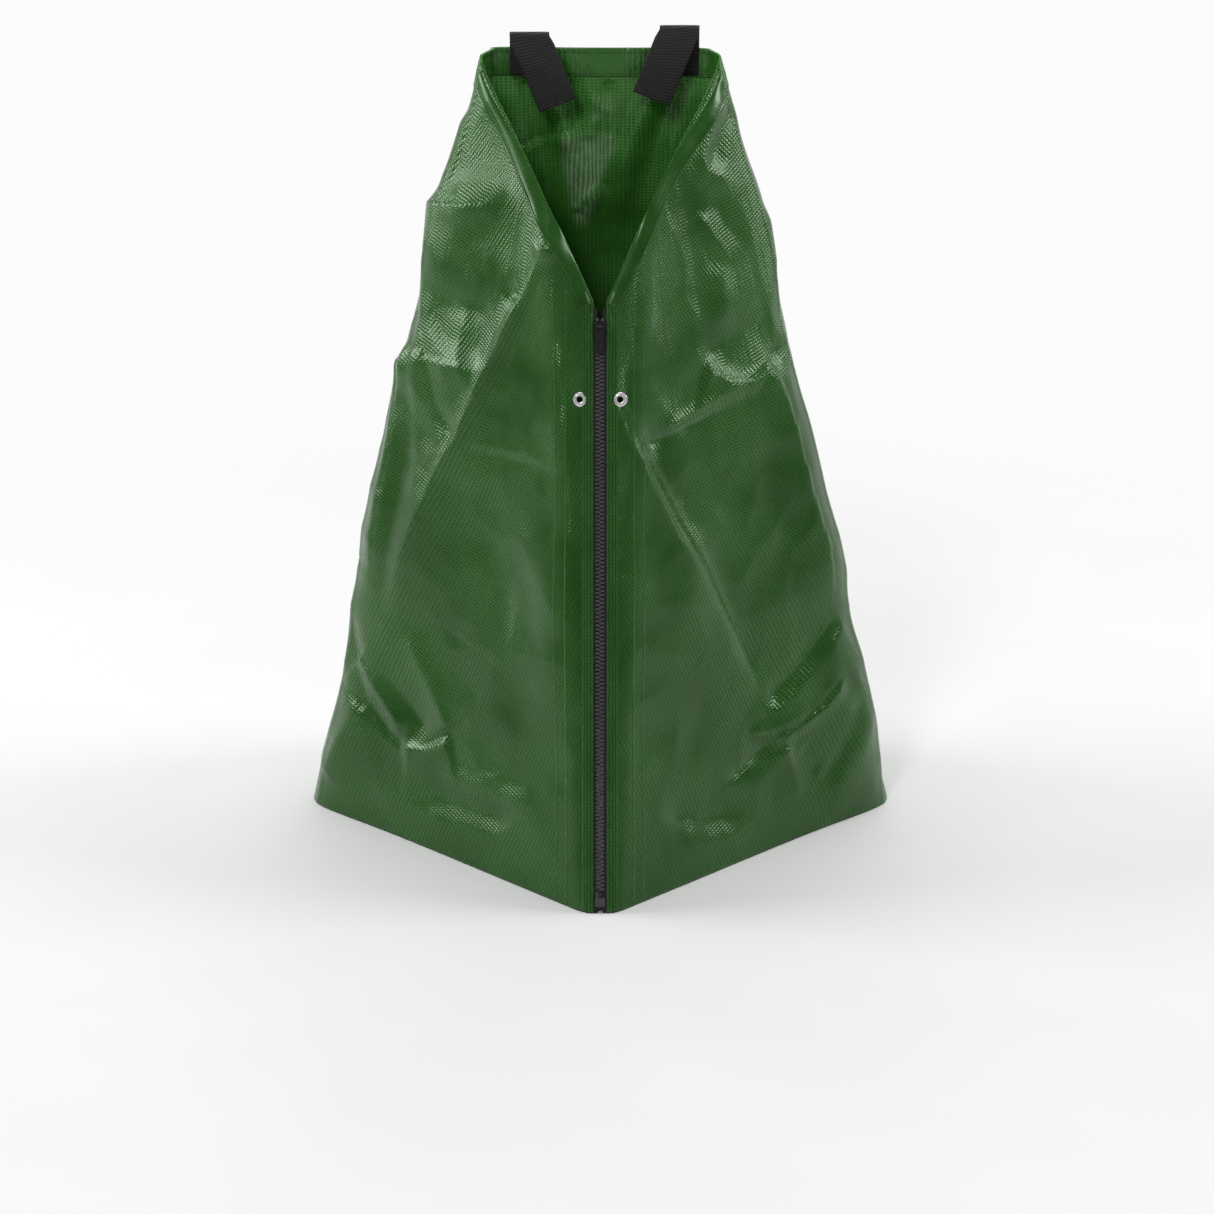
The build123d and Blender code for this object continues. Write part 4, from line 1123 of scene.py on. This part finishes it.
for side, hand in SIDES.items():
    body = FLAP[side]
    share = np.linspace(0, 1, ZIP_STEPS)
    parts = []
    for at, proud in ZIP_PROFILE:
        x = SLOT_X + at / 1000
        top = neck_edge_z(x) - ZIP_TOP_GAP
        heights = ZIP_LOW + share * (top - ZIP_LOW)
        ruffle = noise_up(heights, 150, at * 0.25, hand * 2.0)
        slow = noise_up(heights, 38, at * 0.15, hand * 5.0)
        gather = 0.00018 + 0.00075 * smooth(0.47, 0.56, heights)
        pinch = 0.12 * np.cos(2 * math.pi * heights / STITCH_PITCH)
        p, n = front_line(hand, x, heights)
        gathered = gather * np.clip(ruffle + 0.6 * slow, -0.4, 1) * min(1.0, at / 2)
        swell = SEAM_PROUD * proud * (1 + pinch) + gathered
        sideways = np.array([hand, 0, 0]) * (0.0005 * slow * smooth(0.42, 0.56, heights))[:, None]
        outer = p + n * np.maximum(swell, 0.00005)[:, None] + sideways
        parts.append((outer, p - n * 2.5 * SKIN))
    piece = ridge(f"zip_seam_{side}", parts, ZIP_SEAM)
    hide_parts(f"zip_facing_{side}")
    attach(piece, body)

    paths = []
    for at in ZIP_STITCH_AT:
        heights = np.linspace(0.004, neck_edge_z(SLOT_X + at / 1000) - 0.004, 300)
        p, n = front_line(hand, SLOT_X + at / 1000, heights)
        paths.append((p + n * SEAM_PROUD * 0.45, n))
    piece = stitches(f"zip_stitching_{side}", paths, THREAD, *ZIP_STITCH)
    carry(piece, body)

    # A bar tack of pale thread holds the turned film where the zipper meets the neck; its paleness is partly
    # a painted highlight.
    x = SLOT_X + np.linspace(*TACK_REACH, 8)
    paths = []
    for drop in TACK_DROPS:
        p, n = front_line(hand, x, neck_edge_z(x) - BINDING * 0.2 - drop)
        paths.append((p + n * SEAM_PROUD * 1.9, n))
    piece = stitches(f"neck_bartack_{side}", paths, TACK, *TACK_STITCH)
    carry(piece, body)

    for number, (low_x, high_x) in enumerate(WELD_LINES):
        parts = []
        for across, proud in WELD_PROFILE:
            p, n = front_line(hand, low_x + (high_x - low_x) * across, WELD_HEIGHTS)
            parts.append((p + n * proud / 1000, p - n * SKIN * 0.8))
        piece = ridge(f"facing_weld_{side}_{number + 1}", parts, ZIP_SEAM)
        carry(piece, body)

# ---- Lifting straps -----------------------------------------------------------------------

STRAP_HALF, STRAP_THICK, STRAP_BEND = 0.020, 0.0015, 0.0035
STRAP_TAIL, STRAP_SKEW, STRAP_LEAN = 0.076, math.radians(22), math.radians(5)
STRAP_AT, STRAP_RISE = {"left": 0.071, "right": 0.080}, {"left": 0.019, "right": 0.026}
back_lean = math.atan((FOOT_BACK - TOP_BACK) / TOP_Z)
LEG_ROWS, BEND_ROWS, TAIL_ROWS = 15, 13, 32
STRAP_CURL = 0.0012
STRAP_STITCH = (0.003, 0.75, 0.0003)  # pitch, share and thread radius
STITCH_EDGE = 0.84  # the stitch rows run at this share of the strap's half width
ACROSS = np.array([-1, -0.97, -0.9, -0.75, -0.5, -0.25, 0, 0.25, 0.5, 0.75, 0.9, 0.97, 1])


def strap_rows(side):
    """The strap's middle surface: rows from the sewn foot, over the fold, to the free end."""
    hand = SIDES[side]
    up = np.array([0, -math.sin(back_lean), math.cos(back_lean)])
    crown_z = TOP_Z + STRAP_RISE[side] - STRAP_BEND
    face = TOP_BACK - 2 * SKIN - SEAM_PROUD - STRAP_THICK / 2 - 0.0012
    crown = np.array([STRAP_AT[side] * hand, face - math.tan(back_lean) * (crown_z - TOP_Z), crown_z])
    rows = []
    across = np.array([STRAP_HALF, 0, 0])
    leg = crown_z - (TOP_Z - HEM + 0.002)
    for k in range(LEG_ROWS):
        rows.append((crown - up * leg * (1 - k / LEG_ROWS) / up[2], across))
    middle_r = STRAP_BEND - STRAP_THICK / 2 + 0.0006
    turn_end = math.pi - back_lean - STRAP_LEAN
    centre = crown + np.array([0, -math.cos(back_lean), -math.sin(back_lean)]) * middle_r
    for k in range(BEND_ROWS):
        turn = turn_end * k / (BEND_ROWS - 1)
        radial = np.array([0, math.cos(turn), math.sin(turn)])
        rows.append((centre + radial * middle_r, across))
    start = rows[-1][0]
    down = np.array([0, -math.sin(STRAP_LEAN), -math.cos(STRAP_LEAN)])
    drift = -hand * math.tan(STRAP_SKEW)
    cut = hand * math.sin(STRAP_SKEW) * STRAP_HALF
    end = STRAP_TAIL * math.cos(STRAP_SKEW)
    fold_half = STRAP_HALF / math.cos(STRAP_SKEW)
    out = np.cross(down, [1, 0, 0])
    out = out if out[1] < 0 else -out
    for k in range(1, TAIL_ROWS + 1):
        share = k / TAIL_ROWS
        mid = start + down * end * share + np.array([drift * end * share, 0, 0])
        half = STRAP_HALF + (fold_half - STRAP_HALF) * min(1.0, share * 8)
        tilt = np.array([half, 0, 0]) + (down * cut + np.array([drift * cut, 0, 0])) * share
        curl = out * STRAP_CURL * math.sin(math.pi * share)
        rows.append((mid + curl, tilt))
    return rows


def leg_stitches(line):
    """A row of stitches along the inner face of a strap's leg."""
    out = np.tile([0, -math.cos(back_lean), -math.sin(back_lean)], (len(line), 1))
    return np.array(line) + out * STRAP_THICK * 0.52, out


for side, hand in SIDES.items():
    rows = strap_rows(side)
    points = np.array([[mid + across * w for w in ACROSS] for mid, across in rows])
    run = run_along([mid for mid, _ in rows])
    uv = np.stack(np.broadcast_arrays(ACROSS[None, :] * STRAP_HALF, run[:, None]), -1)
    face = np.cross(np.gradient(points, axis=1), np.gradient(points, axis=0))
    face /= length(face)
    rib = 1 - 0.55 * np.abs(ACROSS) ** 12
    ends = np.ones(len(rows))
    ends[-1] = 0.7
    half = STRAP_THICK / 2 * rib[None, :, None] * ends[:, None, None]
    normal = face * rib[None, :, None]
    piece = film(f"strap_{side}", points + face * half, normal, uv, WEBBING, (), STRAP_THICK)
    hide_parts(f"strap_leg_{side}", f"strap_tail_{side}")
    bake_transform(piece)
    paths = []
    for mid, _ in (rows[1], rows[6]):
        shares = np.linspace(-1, 1, 20)
        paths.append(leg_stitches([mid + [w * STRAP_HALF * STITCH_EDGE, 0, 0] for w in shares]))
    for w in (-STITCH_EDGE, STITCH_EDGE):
        paths.append(leg_stitches([mid + [w * STRAP_HALF, 0, 0] for mid, _ in rows[1:8]]))
    piece = stitches(f"strap_stitching_{side}", paths, WEBBING, *STRAP_STITCH)
    carry(piece, "bag_back")

# ---- Stage --------------------------------------------------------------------------------

CENTRE = Vector((0.007, 0.0, 0.219))
ELEVATION, DISTANCE, LENS = math.radians(20), 4.5, 128.7
camera = bpy.data.objects.new("camera", bpy.data.cameras.new("camera"))
camera.data.lens = LENS
camera.location = CENTRE + DISTANCE * Vector((0, -math.cos(ELEVATION), math.sin(ELEVATION)))
camera.rotation_euler = (CENTRE - camera.location).to_track_quat("-Z", "Y").to_euler()
camera.data.clip_end = 60
bpy.context.scene.collection.objects.link(camera)
bpy.context.scene.camera = camera


def lamp(name, at, aim, size, power, tall=None):
    """A soft box of that size, turned to its aim. It is square unless tall is given."""
    data = bpy.data.lights.new(name, "AREA")
    data.shape = "RECTANGLE"
    data.size, data.size_y = size, tall or size
    data.energy = power
    obj = bpy.data.objects.new(name, data)
    obj.location = at
    obj.rotation_euler = (Vector(aim) - Vector(at)).to_track_quat("-Z", "Y").to_euler()
    bpy.context.scene.collection.objects.link(obj)


lamp("key", (-2.9, 0.35, 1.65), (0, 0, 0.45), 1.7, 52, 1.0)
lamp("fill", (2.8, 0.2, 1.9), (0, 0, 0.4), 1.4, 41, 0.9)
lamp("front", (-0.9, -2.6, 2.9), (0, 0, 0.4), 0.6, 30)
lamp("top", (0.1, 0.2, 3.2), (0, 0, 0.4), 1.2, 17)
lamp("rear", (0.4, 2.8, 1.6), (0, 0, 0.5), 1.8, 15)

world = bpy.data.worlds.new("world")
bpy.context.scene.world = world
world.use_nodes = True
tree = world.node_tree
tree.nodes.clear()


def world_node(kind, **inputs):
    """A node of the world, with its inputs set or linked."""
    node = tree.nodes.new(kind)
    for key, value in inputs.items():
        if isinstance(value, bpy.types.NodeSocket):
            tree.links.new(value, node.inputs[key])
        else:
            node.inputs[key].default_value = value
    return node


# The room is darker on the camera's side, so that the film's folds have something to mirror.
direction = world_node("ShaderNodeTexCoord").outputs["Generated"]
parts = world_node("ShaderNodeSeparateXYZ", Vector=direction)
behind = world_node("ShaderNodeMapRange", Value=parts.outputs["Y"])
behind.interpolation_type = "SMOOTHSTEP"
for key, value in {"From Min": -0.10, "From Max": 0.55, "To Min": 0.16, "To Max": 0.91}.items():
    behind.inputs[key].default_value = value
shade = world_node("ShaderNodeBackground", Strength=behind.outputs[0])
shade.inputs["Color"].default_value = (1, 1, 1, 1)
output = tree.nodes.new("ShaderNodeOutputWorld")
tree.links.new(shade.outputs[0], output.inputs[0])

# The floor keeps the shadow near the object, and turns into a white backdrop further behind it.
n = Nodes("floor")
where = n.add("ShaderNodeTexCoord").outputs["Object"]
tone = n.ramp(n.noise(where, 3.0, 2.0), (0.3, 0.80), (0.7, 0.83))
plain = n.finish({"Base Color": tone, "Roughness": 0.9, "Specular IOR Level": 0.0})
rays = n.add("ShaderNodeLightPath").outputs
away = n.add("ShaderNodeVectorMath", {0: where}, operation="LENGTH").outputs["Value"]
backdrop = n.smoothstep(away, 0.55, 1.5)
depth = n.add("ShaderNodeSeparateXYZ", {"Vector": where}).outputs["Y"]
mirrored = n.smoothstep(depth, 0.0, 1.4)
bounced = n.maths("MAXIMUM", rays["Is Glossy Ray"], rays["Is Transmission Ray"])
seen = n.maths(
    "MAXIMUM",
    n.maths("MULTIPLY", rays["Is Camera Ray"], backdrop),
    n.maths("MULTIPLY", bounced, mirrored),
)
glow = n.add("ShaderNodeEmission", {"Color": (1, 1, 1, 1), "Strength": 0.97})
mixed = n.add("ShaderNodeMixShader", {0: seen})
n.tree.links.new(n.shader.outputs[0], mixed.inputs[1])
n.tree.links.new(glow.outputs[0], mixed.inputs[2])
n.tree.links.new(mixed.outputs[0], n.tree.nodes["Material Output"].inputs["Surface"])
corners = [(-14, -14, 0), (14, -14, 0), (14, 22, 0), (-14, 22, 0)]
floor = new_object("floor", corners, [(0, 1, 2, 3)], plain)
floor.location.z = -0.0006

scene = bpy.context.scene
scene.view_settings.view_transform = "Standard"
